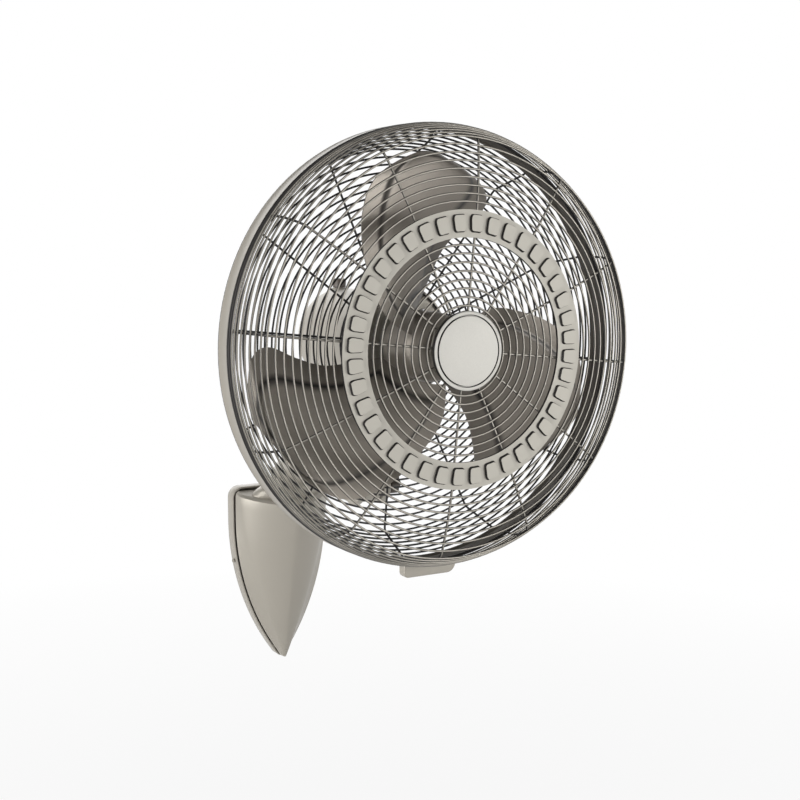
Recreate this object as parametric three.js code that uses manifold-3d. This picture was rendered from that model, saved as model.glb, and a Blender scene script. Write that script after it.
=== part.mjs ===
// Wall mounted drum fan: a wire cage round three blades, on a tilting and swinging neck, on an arm
// that grows out of a shield shaped wall box. Millimetres, +Z up. The wall is the plane Y = 0, the
// fan faces -Y, and the origin lies on the wall, behind the middle of the arm's foot.
import * as THREE from 'three';
import { mergeVertices } from 'three/addons/utils/BufferGeometryUtils.js';
import Module from 'manifold-3d';

const wasm = await Module();
wasm.setup();

// ---------------------------------------------------------------------------------------------
// Driving dimensions
// ---------------------------------------------------------------------------------------------
const REACH = 459; // wall to the front rim of the cage band
const AXIS_HEIGHT = 340; // fan axis above the origin
const SEAT_GAP = 0.3; // gap between two pieces that seat on each other
const RUN_GAP = 0.8; // gap beside a piece that turns

// Wall box
const PLATE_HALF_WIDTH = 75;
const PLATE_TOP = 109;
const PLATE_SIDE_FOOT = 60; // height where the straight sides turn into the curved flanks
const PLATE_FLANK_RADIUS = 360;
const PLATE_TIP_RADIUS = 8;
const PLATE_CORNER_RADIUS = 16;
const PLATE_DEPTH = 20;
const PLATE_SHEET = 2.5;
const COVER_SHADOW_GAP = 3; // dark line between plate and cover
const COVER_MARGIN = 3; // cover edge inside the plate's outline
const COVER_WALL = 2.5;
const COVER_SIDE_DEPTH = 12; // slanted side facet, front to back
const COVER_TOP_DEPTH = 91; // keel to wall at the top
const COVER_TIP_DEPTH = 34; // keel to wall at the tip
const COVER_TOP_SLOPE = 0.12; // fall of the top face towards the front
const COVER_SCREW_HEIGHT = -2;
const COVER_SCREW_RADIUS = 1.5;
const WALL_SCREW_SPACING = 110;
const WALL_SCREW_HEIGHT = 0;
const WALL_SCREW_RADIUS = 2.5;
const CABLE_HOLE_RADIUS = 11;
const CABLE_HOLE_HEIGHT = -30;

// Arm
const ARM_RADIUS = 25;
const ARM_WALL_OFFSET = 31; // middle of the upright part to the wall
const ARM_BEND_RADIUS = 80;
const ARM_HEIGHT = 150; // middle of the level part
const ARM_FOOT_HEIGHT = 20; // lower end of the upright part
const ARM_FOOT_WIDTH = 76;
const ARM_FOOT_THICKNESS = 6;
const ARM_BOLT_RADIUS = 3;

// Tilt knuckle and neck
const KNUCKLE_STATION = 165; // tilt axis and swing axis, behind the band's front rim
const KNUCKLE_Y = KNUCKLE_STATION - REACH;
const KNUCKLE_RADIUS = 25;
const KNUCKLE_HALF_WIDTH = 23;
const FORK_HALF_SLOT = 14;
const FORK_ROOT = 42; // slot root behind the tilt axis
const TONGUE_RADIUS = 22;
const WASHER_THICKNESS = 1.2;
const TILT_BOLT_RADIUS = 5;
const KNOB_RADIUS = 15;
const KNOB_LENGTH = 20;
const KNOB_LOBES = 6;
const NECK_DROP = 90; // fan axis to the face that the head turns on
const NECK_TOP = AXIS_HEIGHT - NECK_DROP;
const NECK_RADIUS = 17;
const NECK_FLANGE_RADIUS = 24;
const PIVOT_PIN_RADIUS = 7.7;
const PIVOT_DEPTH = 44; // pin length inside the neck
const THRUST_WASHER = 2;

// Motor, in stations behind the band's front rim
const MOTOR_RADIUS = 64;
const MOTOR_FACETS = 24; // the round pieces that seat in the housing share its facets
const MOTOR_WALL = 3;
const MOTOR_FRONT = 98;
const MOTOR_SHOULDER = 228;
const MOTOR_REAR = 270;
const BELL_THICKNESS = 6;
const STATOR_FRONT = 142;
const STATOR_LENGTH = 36;
const STATOR_BORE = 27.6;
const STATOR_SLOTS = 12;
const WINDING_LENGTH = 11;
const ROTOR_GAP = 0.6;
const SHAFT_RADIUS = 5;
const BEARING_RADIUS = 13;
const BEARING_LENGTH = 9;
const GEAR_CASE_FRONT = 200;
const GEAR_CASE_LENGTH = 34;
const SWING_KNOB_STATION = 240;
const SWING_KNOB_RADIUS = 9;
const SWING_KNOB_TRAVEL = 8;
const SWING_KNOB_HOLD = 10.5; // stem left in the housing when the knob is up

// Blades
const BLADES = 3;
const HUB_RADIUS = 42;
const HUB_FRONT = -22;
const HUB_REAR = 46;
const BLADE_ROOT = 43;
const BLADE_TIP = 228;
const BLADE_SHEET = 2.2;
const BLADE_FRONT = -16; // station of the front edge
const BLADE_DEPTH = 64; // front edge to rear edge, along the axis
const BLADE_CAMBER = 9;

// Cage
const CAGE_RADIUS = 259; // outside of the band's front rim
const BAND_DEPTH = 26;
const BAND_SHEET = 1.6;
const BAND_TAPER = 2;
const SPOKES = 12;
const SPOKE_PHASE = 84.3; // degrees
const WIRE = 3; // ring wire, and the height of every wire
const SPOKE_WIRE = 3.4;
const CORNER_INSET = 19.4; // bend between the face and the side, inside the band's outline
const CORNER_RADIUS = CAGE_RADIUS - CORNER_INSET;
const FRONT_CORNER = -60.8;
const FRONT_CENTRE = -71.3;
const REAR_CORNER = 82;
const REAR_CENTRE = 84;
const SIDE_BULGE = 2.5;
const FRONT_RING_PITCH = 10.4;
const FRONT_INNER_PITCH = 11.1;
const FRONT_SIDE_RINGS = 3;
const REAR_RING_PITCH = 34;
const REAR_SIDE_RINGS = 1;
const REAR_INNER_RING = 70;

// Front trim
const TRIM_OUTER = 158;
const TRIM_INNER = 127;
const TRIM_THICKNESS = 3.5;
const POCKETS = 40;
const POCKET_LENGTH = 20;
const POCKET_WIDTH = 15.5;
const POCKET_DEPTH = 2;
const BADGE_RADIUS = 45.3;
const BADGE_THICKNESS = 6;

// Latch block under the band
const LATCH_HALF_WIDTH = 36;
const LATCH_HEIGHT = 16;
const LATCH_DEPTH = 13;
const LATCH_STATION = 4;

// ---------------------------------------------------------------------------------------------
// Materials
// ---------------------------------------------------------------------------------------------
const finish = (color, metalness, roughness) =>
  new THREE.MeshStandardMaterial({ color, metalness, roughness });
const nickel = finish(0xbeb8aa, 0.8, 0.38);
const wire = finish(0xa8a194, 0.85, 0.35);
const bladeMetal = finish(0x857e72, 0.7, 0.42);
const steel = finish(0xb5b6b8, 0.9, 0.35);
const darkSteel = finish(0x4a4a4c, 0.8, 0.45);
const castAluminium = finish(0x9d9b96, 0.7, 0.5);
const blackPlastic = finish(0x26262a, 0, 0.55);
const brownPlastic = finish(0x5d5148, 0, 0.5);
const whitePlastic = finish(0xd8d6cf, 0, 0.5);
const copper = finish(0xb4693a, 0.8, 0.4);
const bronze = finish(0xa07a42, 0.8, 0.45);

// ---------------------------------------------------------------------------------------------
// Solids
// ---------------------------------------------------------------------------------------------
function merged(geometry) {
  const plain = geometry.clone();
  for (const name of Object.keys(plain.attributes)) {
    if (name !== 'position') plain.deleteAttribute(name);
  }
  return mergeVertices(plain, 1e-4);
}

function signedVolume(geometry) {
  const at = geometry.attributes.position;
  const index = geometry.index.array;
  const [a, b, c] = [new THREE.Vector3(), new THREE.Vector3(), new THREE.Vector3()];
  let sum = 0;
  for (let i = 0; i < index.length; i += 3) {
    a.fromBufferAttribute(at, index[i]);
    b.fromBufferAttribute(at, index[i + 1]);
    c.fromBufferAttribute(at, index[i + 2]);
    sum += a.dot(b.cross(c)) / 6;
  }
  return sum;
}

// Drops triangles without area and turns the faces outwards.
function closed(geometry) {
  const clean = merged(geometry);
  let index = [];
  const old = clean.index.array;
  for (let i = 0; i < old.length; i += 3) {
    const [a, b, c] = [old[i], old[i + 1], old[i + 2]];
    if (a !== b && b !== c && a !== c) index.push(a, b, c);
  }
  clean.setIndex(index);
  if (signedVolume(clean) < 0) {
    index = index.slice();
    for (let i = 0; i < index.length; i += 3) [index[i], index[i + 1]] = [index[i + 1], index[i]];
    clean.setIndex(index);
  }
  return clean;
}

function solid(geometry) {
  const shape = closed(geometry);
  return new wasm.Manifold(new wasm.Mesh({
    numProp: 3,
    vertProperties: new Float32Array(shape.attributes.position.array),
    triVerts: new Uint32Array(shape.index.array),
  }));
}

function meshed(manifold) {
  const mesh = manifold.getMesh();
  const geometry = new THREE.BufferGeometry();
  geometry.setAttribute('position', new THREE.BufferAttribute(mesh.vertProperties, 3));
  geometry.setIndex(Array.from(mesh.triVerts));
  return geometry;
}

const join = (...geometries) => meshed(geometries.map(solid).reduce((a, b) => a.add(b)));
const cut = (geometry, ...tools) =>
  meshed(tools.map(solid).reduce((a, b) => a.subtract(b), solid(geometry)));

// A turned piece from [radius, station] pairs; the profile closes on the axis or on itself.
function turned(profile, segments, axis = 'y') {
  const points = profile.map(([radius, station]) => new THREE.Vector2(radius, station));
  const open = points[0].x > 0 || points[points.length - 1].x > 0;
  if (open) points.push(points[0].clone());
  const geometry = new THREE.LatheGeometry(points, segments);
  if (axis === 'z') geometry.rotateX(Math.PI / 2);
  if (axis === 'x') geometry.rotateZ(-Math.PI / 2);
  return closed(geometry);
}

// A turned profile whose stations run along +Z, moved to x, y.
const upright = (profile, segments, x, y) => {
  const geometry = new THREE.LatheGeometry(
    profile.map(([radius, height]) => new THREE.Vector2(radius, height)), segments);
  geometry.rotateX(Math.PI / 2);
  return closed(geometry).translate(x, y, 0);
};

const rod = (radius, low, high, segments) =>
  turned([[0, low], [radius, low], [radius, high], [0, high]], segments);
const tube = (inner, outer, low, high, segments) =>
  turned([[inner, low], [outer, low], [outer, high], [inner, high]], segments);
const block = (x, y, z, width, depth, height) =>
  new THREE.BoxGeometry(width, depth, height).translate(x, y, z);

// A flat outline in x and z, given depth towards the front from the plane y.
function plateOf(shape, y, depth, curveSegments = 6) {
  const geometry = new THREE.ExtrudeGeometry(shape, { depth, bevelEnabled: false, curveSegments });
  return geometry.rotateX(Math.PI / 2).translate(0, y, 0);
}

const station = (behindRim) => behindRim - REACH;
const onAxis = (geometry) => geometry.translate(0, -REACH, AXIS_HEIGHT);

// ---------------------------------------------------------------------------------------------
// Assembly tree
// ---------------------------------------------------------------------------------------------
const fan = new THREE.Group();
function add(name, geometry, material) {
  const mesh = new THREE.Mesh(closed(geometry), material);
  mesh.name = name;
  fan.add(mesh);
  return mesh;
}

// ---------------------------------------------------------------------------------------------
// Wall plate: a shallow shield shaped tray that screws to the wall
// ---------------------------------------------------------------------------------------------
function flankHalfWidth(height, inset) {
  if (height >= PLATE_SIDE_FOOT) return PLATE_HALF_WIDTH - inset;
  const drop = height - PLATE_SIDE_FOOT;
  return PLATE_HALF_WIDTH - PLATE_FLANK_RADIUS
    + Math.sqrt((PLATE_FLANK_RADIUS - inset) ** 2 - drop ** 2);
}

function shieldOutline(inset) {
  const radius = PLATE_FLANK_RADIUS - inset;
  const tip = Math.max(PLATE_TIP_RADIUS - inset, 2);
  const corner = Math.max(PLATE_CORNER_RADIUS - inset, 2);
  const centre = PLATE_HALF_WIDTH - PLATE_FLANK_RADIUS;
  const tipZ = PLATE_SIDE_FOOT - Math.sqrt((radius - tip) ** 2 - centre ** 2);
  const lean = Math.atan2(tipZ - PLATE_SIDE_FOOT, -centre);
  const side = PLATE_HALF_WIDTH - inset;
  const crown = PLATE_TOP - inset;
  const shape = new THREE.Shape();
  shape.absarc(0, tipZ, tip, -Math.PI - lean, lean, false);
  shape.absarc(centre, PLATE_SIDE_FOOT, radius, lean, 0, false);
  shape.absarc(side - corner, crown - corner, corner, 0, Math.PI / 2, false);
  shape.absarc(corner - side, crown - corner, corner, Math.PI / 2, Math.PI, false);
  shape.absarc(-centre, PLATE_SIDE_FOOT, radius, Math.PI, Math.PI - lean, false);
  return shape;
}

const ARM_BOLT_X = 28;
const ARM_BOLT_LOW = 32;
const ARM_BOLT_HIGH = 74;
const armBoltSeats = [-1, 1].flatMap((side) =>
  [ARM_BOLT_LOW, ARM_BOLT_HIGH].map((height) => [side * ARM_BOLT_X, height]));
const wallScrewSeats = [-1, 1].map((side) => [side * WALL_SCREW_SPACING / 2, WALL_SCREW_HEIGHT]);

const throughPlate = (x, z, radius, segments = 6) =>
  rod(radius, -PLATE_DEPTH, 1, segments).translate(x, 0, z);
const notchHalfWidth = ARM_RADIUS + 1;
const coverScrewX = flankHalfWidth(COVER_SCREW_HEIGHT, 0);
const coverScrewY = -PLATE_DEPTH / 2;
const sideHole = (side) => turned(
  [[0, coverScrewX - 12], [COVER_SCREW_RADIUS + SEAT_GAP, coverScrewX - 12],
    [COVER_SCREW_RADIUS + SEAT_GAP, coverScrewX + 4], [0, coverScrewX + 4]], 8, 'x')
  .applyMatrix4(new THREE.Matrix4().makeScale(side, 1, 1))
  .translate(0, coverScrewY, COVER_SCREW_HEIGHT);

add('wall_plate', cut(
  plateOf(shieldOutline(0), 0, PLATE_DEPTH, 3),
  plateOf(shieldOutline(PLATE_SHEET), -PLATE_SHEET, PLATE_DEPTH, 3),
  block(0, -PLATE_SHEET - PLATE_DEPTH / 2, PLATE_TOP, 2 * notchHalfWidth, PLATE_DEPTH, 12),
  throughPlate(0, CABLE_HOLE_HEIGHT, CABLE_HOLE_RADIUS, 14),
  ...armBoltSeats.map(([x, z]) => throughPlate(x, z, ARM_BOLT_RADIUS + SEAT_GAP)),
  ...wallScrewSeats.map(([x, z]) => throughPlate(x, z, WALL_SCREW_RADIUS + SEAT_GAP)),
  sideHole(1), sideHole(-1),
), nickel);

// ---------------------------------------------------------------------------------------------
// Wall cover: a keeled shell over the plate, with a slot and collar for the arm
// ---------------------------------------------------------------------------------------------
const COVER_BACK = PLATE_DEPTH + COVER_SHADOW_GAP; // back edge to wall
const COVER_TIP = -146; // lower end of the cover's full section
const COVER_CROWN = 101;
const COVER_ARCH = 1.4; // superellipse power of the front, 1 is a plain roof
const COVER_STATIONS = 6;
const ARCH_POINTS = 8;

// Points run from the left back edge over the keel to the right back edge.
function coverSection(height, inset, back) {
  const along = (height - COVER_TIP) / (COVER_CROWN - COVER_TIP);
  const keel = COVER_TIP_DEPTH + (COVER_TOP_DEPTH - COVER_TIP_DEPTH) * along - inset;
  const width = Math.max(flankHalfWidth(height, COVER_MARGIN + inset), 3);
  const crease = width * (1 - 0.44 * (1 - along));
  const creaseDepth = Math.min(COVER_BACK + COVER_SIDE_DEPTH, keel - 1);
  const fall = COVER_TOP_SLOPE * Math.max(0, along * 2 - 1);
  const points = [[-width, back]];
  for (let i = 0; i <= ARCH_POINTS; i += 1) {
    const turn = Math.PI * (1 - i / ARCH_POINTS);
    const power = 2 / COVER_ARCH;
    const across = Math.sign(Math.cos(turn)) * Math.abs(Math.cos(turn)) ** power;
    points.push([
      crease * across,
      creaseDepth + (keel - creaseDepth) * Math.abs(Math.sin(turn)) ** power,
    ]);
  }
  points.push([width, back]);
  return points.map(([x, depth]) => [x, -depth, height - fall * (depth - back)]);
}

// Joins equal rings of points with faces, and closes the first and the last ring.
function loft(rings) {
  const count = rings[0].length;
  const positions = rings.flat(2);
  const index = [];
  for (let j = 0; j + 1 < rings.length; j += 1) {
    for (let i = 0; i < count; i += 1) {
      const [a, b] = [j * count + i, j * count + (i + 1) % count];
      index.push(a, b, b + count, a, b + count, a + count);
    }
  }
  const last = (rings.length - 1) * count;
  for (let i = 1; i + 1 < count; i += 1) {
    index.push(0, i + 1, i);
    index.push(last, last + i, last + i + 1);
  }
  const geometry = new THREE.BufferGeometry();
  geometry.setAttribute('position', new THREE.Float32BufferAttribute(positions, 3));
  geometry.setIndex(index);
  return closed(geometry);
}

function coverShape(inset, back) {
  const low = COVER_TIP + 2 * inset;
  const high = COVER_CROWN - inset;
  const rings = [];
  for (let i = 0; i <= COVER_STATIONS; i += 1) {
    rings.push(coverSection(low + (high - 6 - low) * (i / COVER_STATIONS), inset, back));
  }
  const roll = coverSection(high, inset, back);
  rings.push(roll.map(([x, y, z]) => [x * 0.985, y, z]));
  rings.push(roll.map(([x, y, z]) => [x * 0.94, y + 3 * (-y > back + 4), z + 3]));
  return loft(rings);
}

// The arm's tube: upright out of the box, a quarter turn, then level to endY.
const ARM_SIDES = 16;
function armTube(radius, endY, bends) {
  const rings = [];
  const ringAtTurn = (y, z, lean) => {
    const ring = [];
    for (let i = 0; i < ARM_SIDES; i += 1) {
      const turn = (2 * Math.PI * (i + 0.5)) / ARM_SIDES;
      const out = radius * Math.sin(turn);
      ring.push([radius * Math.cos(turn), y - out * Math.cos(lean), z - out * Math.sin(lean)]);
    }
    rings.push(ring);
  };
  ringAtTurn(-ARM_WALL_OFFSET, ARM_FOOT_HEIGHT, 0);
  for (let i = 0; i <= bends; i += 1) {
    const lean = (Math.PI / 2) * (i / bends);
    ringAtTurn(-ARM_WALL_OFFSET - ARM_BEND_RADIUS * (1 - Math.cos(lean)),
      ARM_HEIGHT - ARM_BEND_RADIUS * (1 - Math.sin(lean)), lean);
  }
  ringAtTurn(endY, ARM_HEIGHT, Math.PI / 2);
  return loft(rings);
}

// Collar: a soft hump on the cover's top from which the arm grows.
function collarShape() {
  const rings = [];
  const levels = [[92, 56, 27], [104, 52, 26], [110, 42, 26], [118, 34, 27], [127, 30.5, 28]];
  for (const [height, across, deep] of levels) {
    const rise = Math.min(Math.max((height - (ARM_HEIGHT - ARM_BEND_RADIUS)) / ARM_BEND_RADIUS, 0), 1);
    const middle = -ARM_WALL_OFFSET - ARM_BEND_RADIUS * (1 - Math.sqrt(1 - rise ** 2));
    const ring = [];
    for (let i = 0; i < 16; i += 1) {
      const turn = (2 * Math.PI * i) / 16;
      ring.push([across * Math.cos(turn), middle - 4 + deep * Math.sin(turn), height]);
    }
    rings.push(ring);
  }
  return loft(rings);
}

const coverTab = (side) => block(side * (coverScrewX - PLATE_SHEET - 3.6), -COVER_BACK + 6,
  COVER_SCREW_HEIGHT, 3.6, 26, 12);
const armSlot = block(0, -ARM_WALL_OFFSET / 2 + 3, PLATE_TOP, 2 * notchHalfWidth, ARM_WALL_OFFSET + 6, 60);

add('wall_cover', cut(
  join(
    cut(
      join(coverShape(0, COVER_BACK), collarShape()),
      coverShape(COVER_WALL, COVER_BACK - 6),
      block(0, -COVER_BACK / 2 + 0.001, 60, 200, COVER_BACK, 500),
    ),
    coverTab(1), coverTab(-1),
  ),
  armTube(ARM_RADIUS + RUN_GAP, -200, 6),
  armSlot,
  sideHole(1), sideHole(-1),
), nickel);

for (const [name, side] of [['cover_screw_left', -1], ['cover_screw_right', 1]]) {
  const head = coverScrewX + 1.2;
  add(name, turned([[0, head - 11], [COVER_SCREW_RADIUS, head - 11], [COVER_SCREW_RADIUS, head],
    [3.2, head], [2.6, head + 1.8], [0, head + 2.1]], 8, 'x')
    .applyMatrix4(new THREE.Matrix4().makeScale(side, 1, 1))
    .translate(0, coverScrewY, COVER_SCREW_HEIGHT), steel);
}

// ---------------------------------------------------------------------------------------------
// Inside the wall box: screws to the wall, terminal block and speed control
// ---------------------------------------------------------------------------------------------
wallScrewSeats.forEach(([x, z], i) => {
  const seat = -PLATE_SHEET - SEAT_GAP;
  add(`wall_screw_${i + 1}`, turned([[0, seat - 3], [3.4, seat - 3], [5, seat], [WALL_SCREW_RADIUS, seat],
    [WALL_SCREW_RADIUS, -0.2], [0, -0.2]], 6).translate(x, 0, z), steel);
});

add('terminal_block', join(
  block(0, -PLATE_SHEET - SEAT_GAP - 7, -62, 44, 14, 16),
  ...[-15, -5, 5, 15].map((x) => rod(3, -18, -13, 6).translate(x, -PLATE_SHEET - SEAT_GAP, -62)),
), whitePlastic);

add('speed_control', join(
  block(0, -PLATE_SHEET - SEAT_GAP - 9, -96, 40, 18, 34),
  block(0, -PLATE_SHEET - SEAT_GAP - 22, -96, 30, 10, 24),
), blackPlastic);

// ---------------------------------------------------------------------------------------------
// Arm: one casting with its foot in the box and a fork at its end
// ---------------------------------------------------------------------------------------------
const footY = -PLATE_SHEET - SEAT_GAP - ARM_FOOT_THICKNESS / 2;
const footTop = ARM_BOLT_HIGH + 12;
const footLow = ARM_FOOT_HEIGHT;
const acrossX = (radius, halfLength, segments, y, z) => turned(
  [[0, -halfLength], [radius, -halfLength], [radius, halfLength], [0, halfLength]], segments, 'x')
  .translate(0, y, z);

add('arm', cut(
  join(
    armTube(ARM_RADIUS, KNUCKLE_Y + 18, 6),
    block(0, footY, (footTop + footLow) / 2, ARM_FOOT_WIDTH, ARM_FOOT_THICKNESS, footTop - footLow),
    block(0, -18, (footTop + footLow) / 2, 30, 24, footTop - footLow),
    acrossX(KNUCKLE_RADIUS, KNUCKLE_HALF_WIDTH, 20, KNUCKLE_Y, ARM_HEIGHT),
  ),
  block(0, KNUCKLE_Y + FORK_ROOT - 45, ARM_HEIGHT, 2 * FORK_HALF_SLOT, 90, 90),
  acrossX(TILT_BOLT_RADIUS + SEAT_GAP, 60, 12, KNUCKLE_Y, ARM_HEIGHT),
  ...armBoltSeats.map(([x, z]) => throughPlate(x, z, ARM_BOLT_RADIUS + SEAT_GAP)),
), nickel);

armBoltSeats.forEach(([x, z], i) => {
  const head = footY - ARM_FOOT_THICKNESS / 2 - SEAT_GAP;
  add(`arm_bolt_${i + 1}`, turned([[0, head - 4], [5.4, head - 4], [5.4, head], [ARM_BOLT_RADIUS, head],
    [ARM_BOLT_RADIUS, -0.2], [0, -0.2]], 6).translate(x, 0, z), steel);
});

const tongueHalf = FORK_HALF_SLOT - WASHER_THICKNESS - 2 * SEAT_GAP;
for (const [name, side] of [['friction_washer_left', -1], ['friction_washer_right', 1]]) {
  add(name, turned([[TILT_BOLT_RADIUS + SEAT_GAP, tongueHalf + SEAT_GAP], [16, tongueHalf + SEAT_GAP],
    [16, tongueHalf + SEAT_GAP + WASHER_THICKNESS],
    [TILT_BOLT_RADIUS + SEAT_GAP, tongueHalf + SEAT_GAP + WASHER_THICKNESS]], 12, 'x')
    .applyMatrix4(new THREE.Matrix4().makeScale(side, 1, 1))
    .translate(0, KNUCKLE_Y, ARM_HEIGHT), blackPlastic);
}

const boltHead = KNUCKLE_HALF_WIDTH + SEAT_GAP;
add('tilt_bolt', join(
  turned([[0, -boltHead - 6], [9, -boltHead - 6], [9, -boltHead], [0, -boltHead]], 6, 'x'),
  turned([[0, -boltHead - 1], [TILT_BOLT_RADIUS, -boltHead - 1], [TILT_BOLT_RADIUS, boltHead + 15],
    [0, boltHead + 15]], 12, 'x'),
).translate(0, KNUCKLE_Y, ARM_HEIGHT), steel);

// ---------------------------------------------------------------------------------------------
// Tilt knob: lobed hand nut on the bolt's right end
// ---------------------------------------------------------------------------------------------
function lobedKnob() {
  const points = [];
  const steps = KNOB_LOBES * 4;
  for (let i = 0; i < steps; i += 1) {
    const turn = (2 * Math.PI * i) / steps;
    const radius = KNOB_RADIUS * (1 - 0.09 * (1 - Math.cos(KNOB_LOBES * turn)));
    points.push(new THREE.Vector2(radius * Math.cos(turn), radius * Math.sin(turn)));
  }
  const depth = KNOB_LENGTH - 6;
  const grip = new THREE.ExtrudeGeometry(new THREE.Shape(points), { depth, bevelEnabled: false });
  grip.rotateY(Math.PI / 2).translate(boltHead + 6, 0, 0);
  const collar = turned([[0, boltHead], [10, boltHead], [12, boltHead + 7], [0, boltHead + 7]], 18, 'x');
  const bore = turned([[0, boltHead - 1], [TILT_BOLT_RADIUS + SEAT_GAP, boltHead - 1],
    [TILT_BOLT_RADIUS + SEAT_GAP, boltHead + 15.5], [0, boltHead + 15.5]], 12, 'x');
  return cut(join(grip, collar), bore);
}
add('tilt_knob', lobedKnob().translate(SEAT_GAP, KNUCKLE_Y, ARM_HEIGHT), brownPlastic);

// ---------------------------------------------------------------------------------------------
// Neck: tilts on the bolt and carries the upright swing pivot
// ---------------------------------------------------------------------------------------------
const PIVOT_BUSH_WALL = 2.5;
const bushInner = PIVOT_PIN_RADIUS + SEAT_GAP;
const bushOuter = bushInner + PIVOT_BUSH_WALL;
const pivotFoot = NECK_TOP - PIVOT_DEPTH;

add('neck', cut(
  join(
    acrossX(TONGUE_RADIUS, tongueHalf, 20, KNUCKLE_Y, ARM_HEIGHT),
    upright([[0, ARM_HEIGHT], [tongueHalf, ARM_HEIGHT], [tongueHalf, ARM_HEIGHT + 28],
      [NECK_RADIUS, ARM_HEIGHT + 46], [NECK_RADIUS, NECK_TOP - 10], [NECK_FLANGE_RADIUS, NECK_TOP - 5],
      [NECK_FLANGE_RADIUS, NECK_TOP], [0, NECK_TOP]], 16, 0, KNUCKLE_Y),
  ),
  acrossX(TILT_BOLT_RADIUS + SEAT_GAP, 60, 12, KNUCKLE_Y, ARM_HEIGHT),
  upright([[0, pivotFoot - 1], [bushOuter + SEAT_GAP, pivotFoot - 1], [bushOuter + SEAT_GAP, NECK_TOP + 1],
    [0, NECK_TOP + 1]], 12, 0, KNUCKLE_Y),
), nickel);

add('pivot_bush', upright([[bushInner, pivotFoot], [bushOuter, pivotFoot], [bushOuter, NECK_TOP - 0.2],
  [bushInner, NECK_TOP - 0.2], [bushInner, pivotFoot]], 12, 0, KNUCKLE_Y), bronze);

const washerLow = NECK_TOP + SEAT_GAP;
const washerHigh = washerLow + THRUST_WASHER;
add('thrust_washer', upright([[PIVOT_PIN_RADIUS + 0.6, washerLow], [NECK_FLANGE_RADIUS - 1, washerLow],
  [NECK_FLANGE_RADIUS - 1, washerHigh], [PIVOT_PIN_RADIUS + 0.6, washerHigh],
  [PIVOT_PIN_RADIUS + 0.6, washerLow]], 12, 0, KNUCKLE_Y), blackPlastic);

// ---------------------------------------------------------------------------------------------
// Motor housing with the swing boss under it, and what it holds
// ---------------------------------------------------------------------------------------------
function housingProfile(inset) {
  const radius = MOTOR_RADIUS - inset;
  const rear = MOTOR_REAR - inset;
  return [
    [0, MOTOR_FRONT], [radius, MOTOR_FRONT], [radius, MOTOR_SHOULDER],
    [radius * 0.93, MOTOR_SHOULDER + 0.45 * (rear - MOTOR_SHOULDER)],
    [radius * 0.68, MOTOR_SHOULDER + 0.85 * (rear - MOTOR_SHOULDER)],
    [radius * 0.3, rear],
    [0, rear],
  ];
}

const bossLow = washerHigh + SEAT_GAP;
const housingFloor = AXIS_HEIGHT - MOTOR_RADIUS;
const bossTop = housingFloor + 1;
const knobBore = SWING_KNOB_RADIUS - 4;
const knobSeat = AXIS_HEIGHT + MOTOR_RADIUS + 0.5;
const swingKnobY = station(SWING_KNOB_STATION);
const innerProfile = housingProfile(MOTOR_WALL);
innerProfile[0][1] -= 5;
innerProfile[1][1] -= 5;

add('motor_housing', cut(
  join(
    cut(
      join(
        onAxis(turned(housingProfile(0), MOTOR_FACETS)),
        upright([[0, AXIS_HEIGHT], [SWING_KNOB_RADIUS + 2, AXIS_HEIGHT], [SWING_KNOB_RADIUS + 1, knobSeat],
          [0, knobSeat]], 14, 0, swingKnobY),
      ),
      onAxis(turned(innerProfile, MOTOR_FACETS)),
    ),
    upright([[0, bossLow], [NECK_FLANGE_RADIUS, bossLow], [NECK_FLANGE_RADIUS, bossTop],
      [0, bossTop]], 20, 0, KNUCKLE_Y),
  ),
  upright([[0, bossLow - 1], [PIVOT_PIN_RADIUS + SEAT_GAP, bossLow - 1],
    [PIVOT_PIN_RADIUS + SEAT_GAP, bossTop - 1.5], [0, bossTop - 1.5]], 12, 0, KNUCKLE_Y),
  upright([[0, AXIS_HEIGHT + 30], [knobBore, AXIS_HEIGHT + 30], [knobBore, AXIS_HEIGHT + 80],
    [0, AXIS_HEIGHT + 80]], 12, 0, swingKnobY),
), nickel);

add('pivot_pin', upright([[0, pivotFoot + 1], [PIVOT_PIN_RADIUS, pivotFoot + 1],
  [PIVOT_PIN_RADIUS, bossTop - 2], [0, bossTop - 2]], 12, 0, KNUCKLE_Y), steel);

const bearingBore = BEARING_RADIUS + SEAT_GAP;
const spigot = MOTOR_RADIUS - MOTOR_WALL - SEAT_GAP;
const bellFront = MOTOR_FRONT - SEAT_GAP - BELL_THICKNESS;
const bellRear = bellFront + BELL_THICKNESS;
const frontBearing = bellRear + 3;
add('front_bell', onAxis(turned([
  [SHAFT_RADIUS + RUN_GAP, bellFront], [MOTOR_RADIUS, bellFront], [MOTOR_RADIUS, bellRear],
  [spigot, bellRear], [spigot, bellRear + 6], [BEARING_RADIUS + 4, frontBearing + BEARING_LENGTH],
  [bearingBore, frontBearing + BEARING_LENGTH], [bearingBore, frontBearing - SEAT_GAP],
  [SHAFT_RADIUS + RUN_GAP, frontBearing - SEAT_GAP],
], MOTOR_FACETS)), castAluminium);

const rearBearing = GEAR_CASE_FRONT + 1;
for (const [name, front] of [['front_bearing', frontBearing], ['rear_bearing', rearBearing]]) {
  add(name, onAxis(tube(SHAFT_RADIUS + SEAT_GAP, BEARING_RADIUS, front, front + BEARING_LENGTH, 12)), steel);
}

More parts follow.
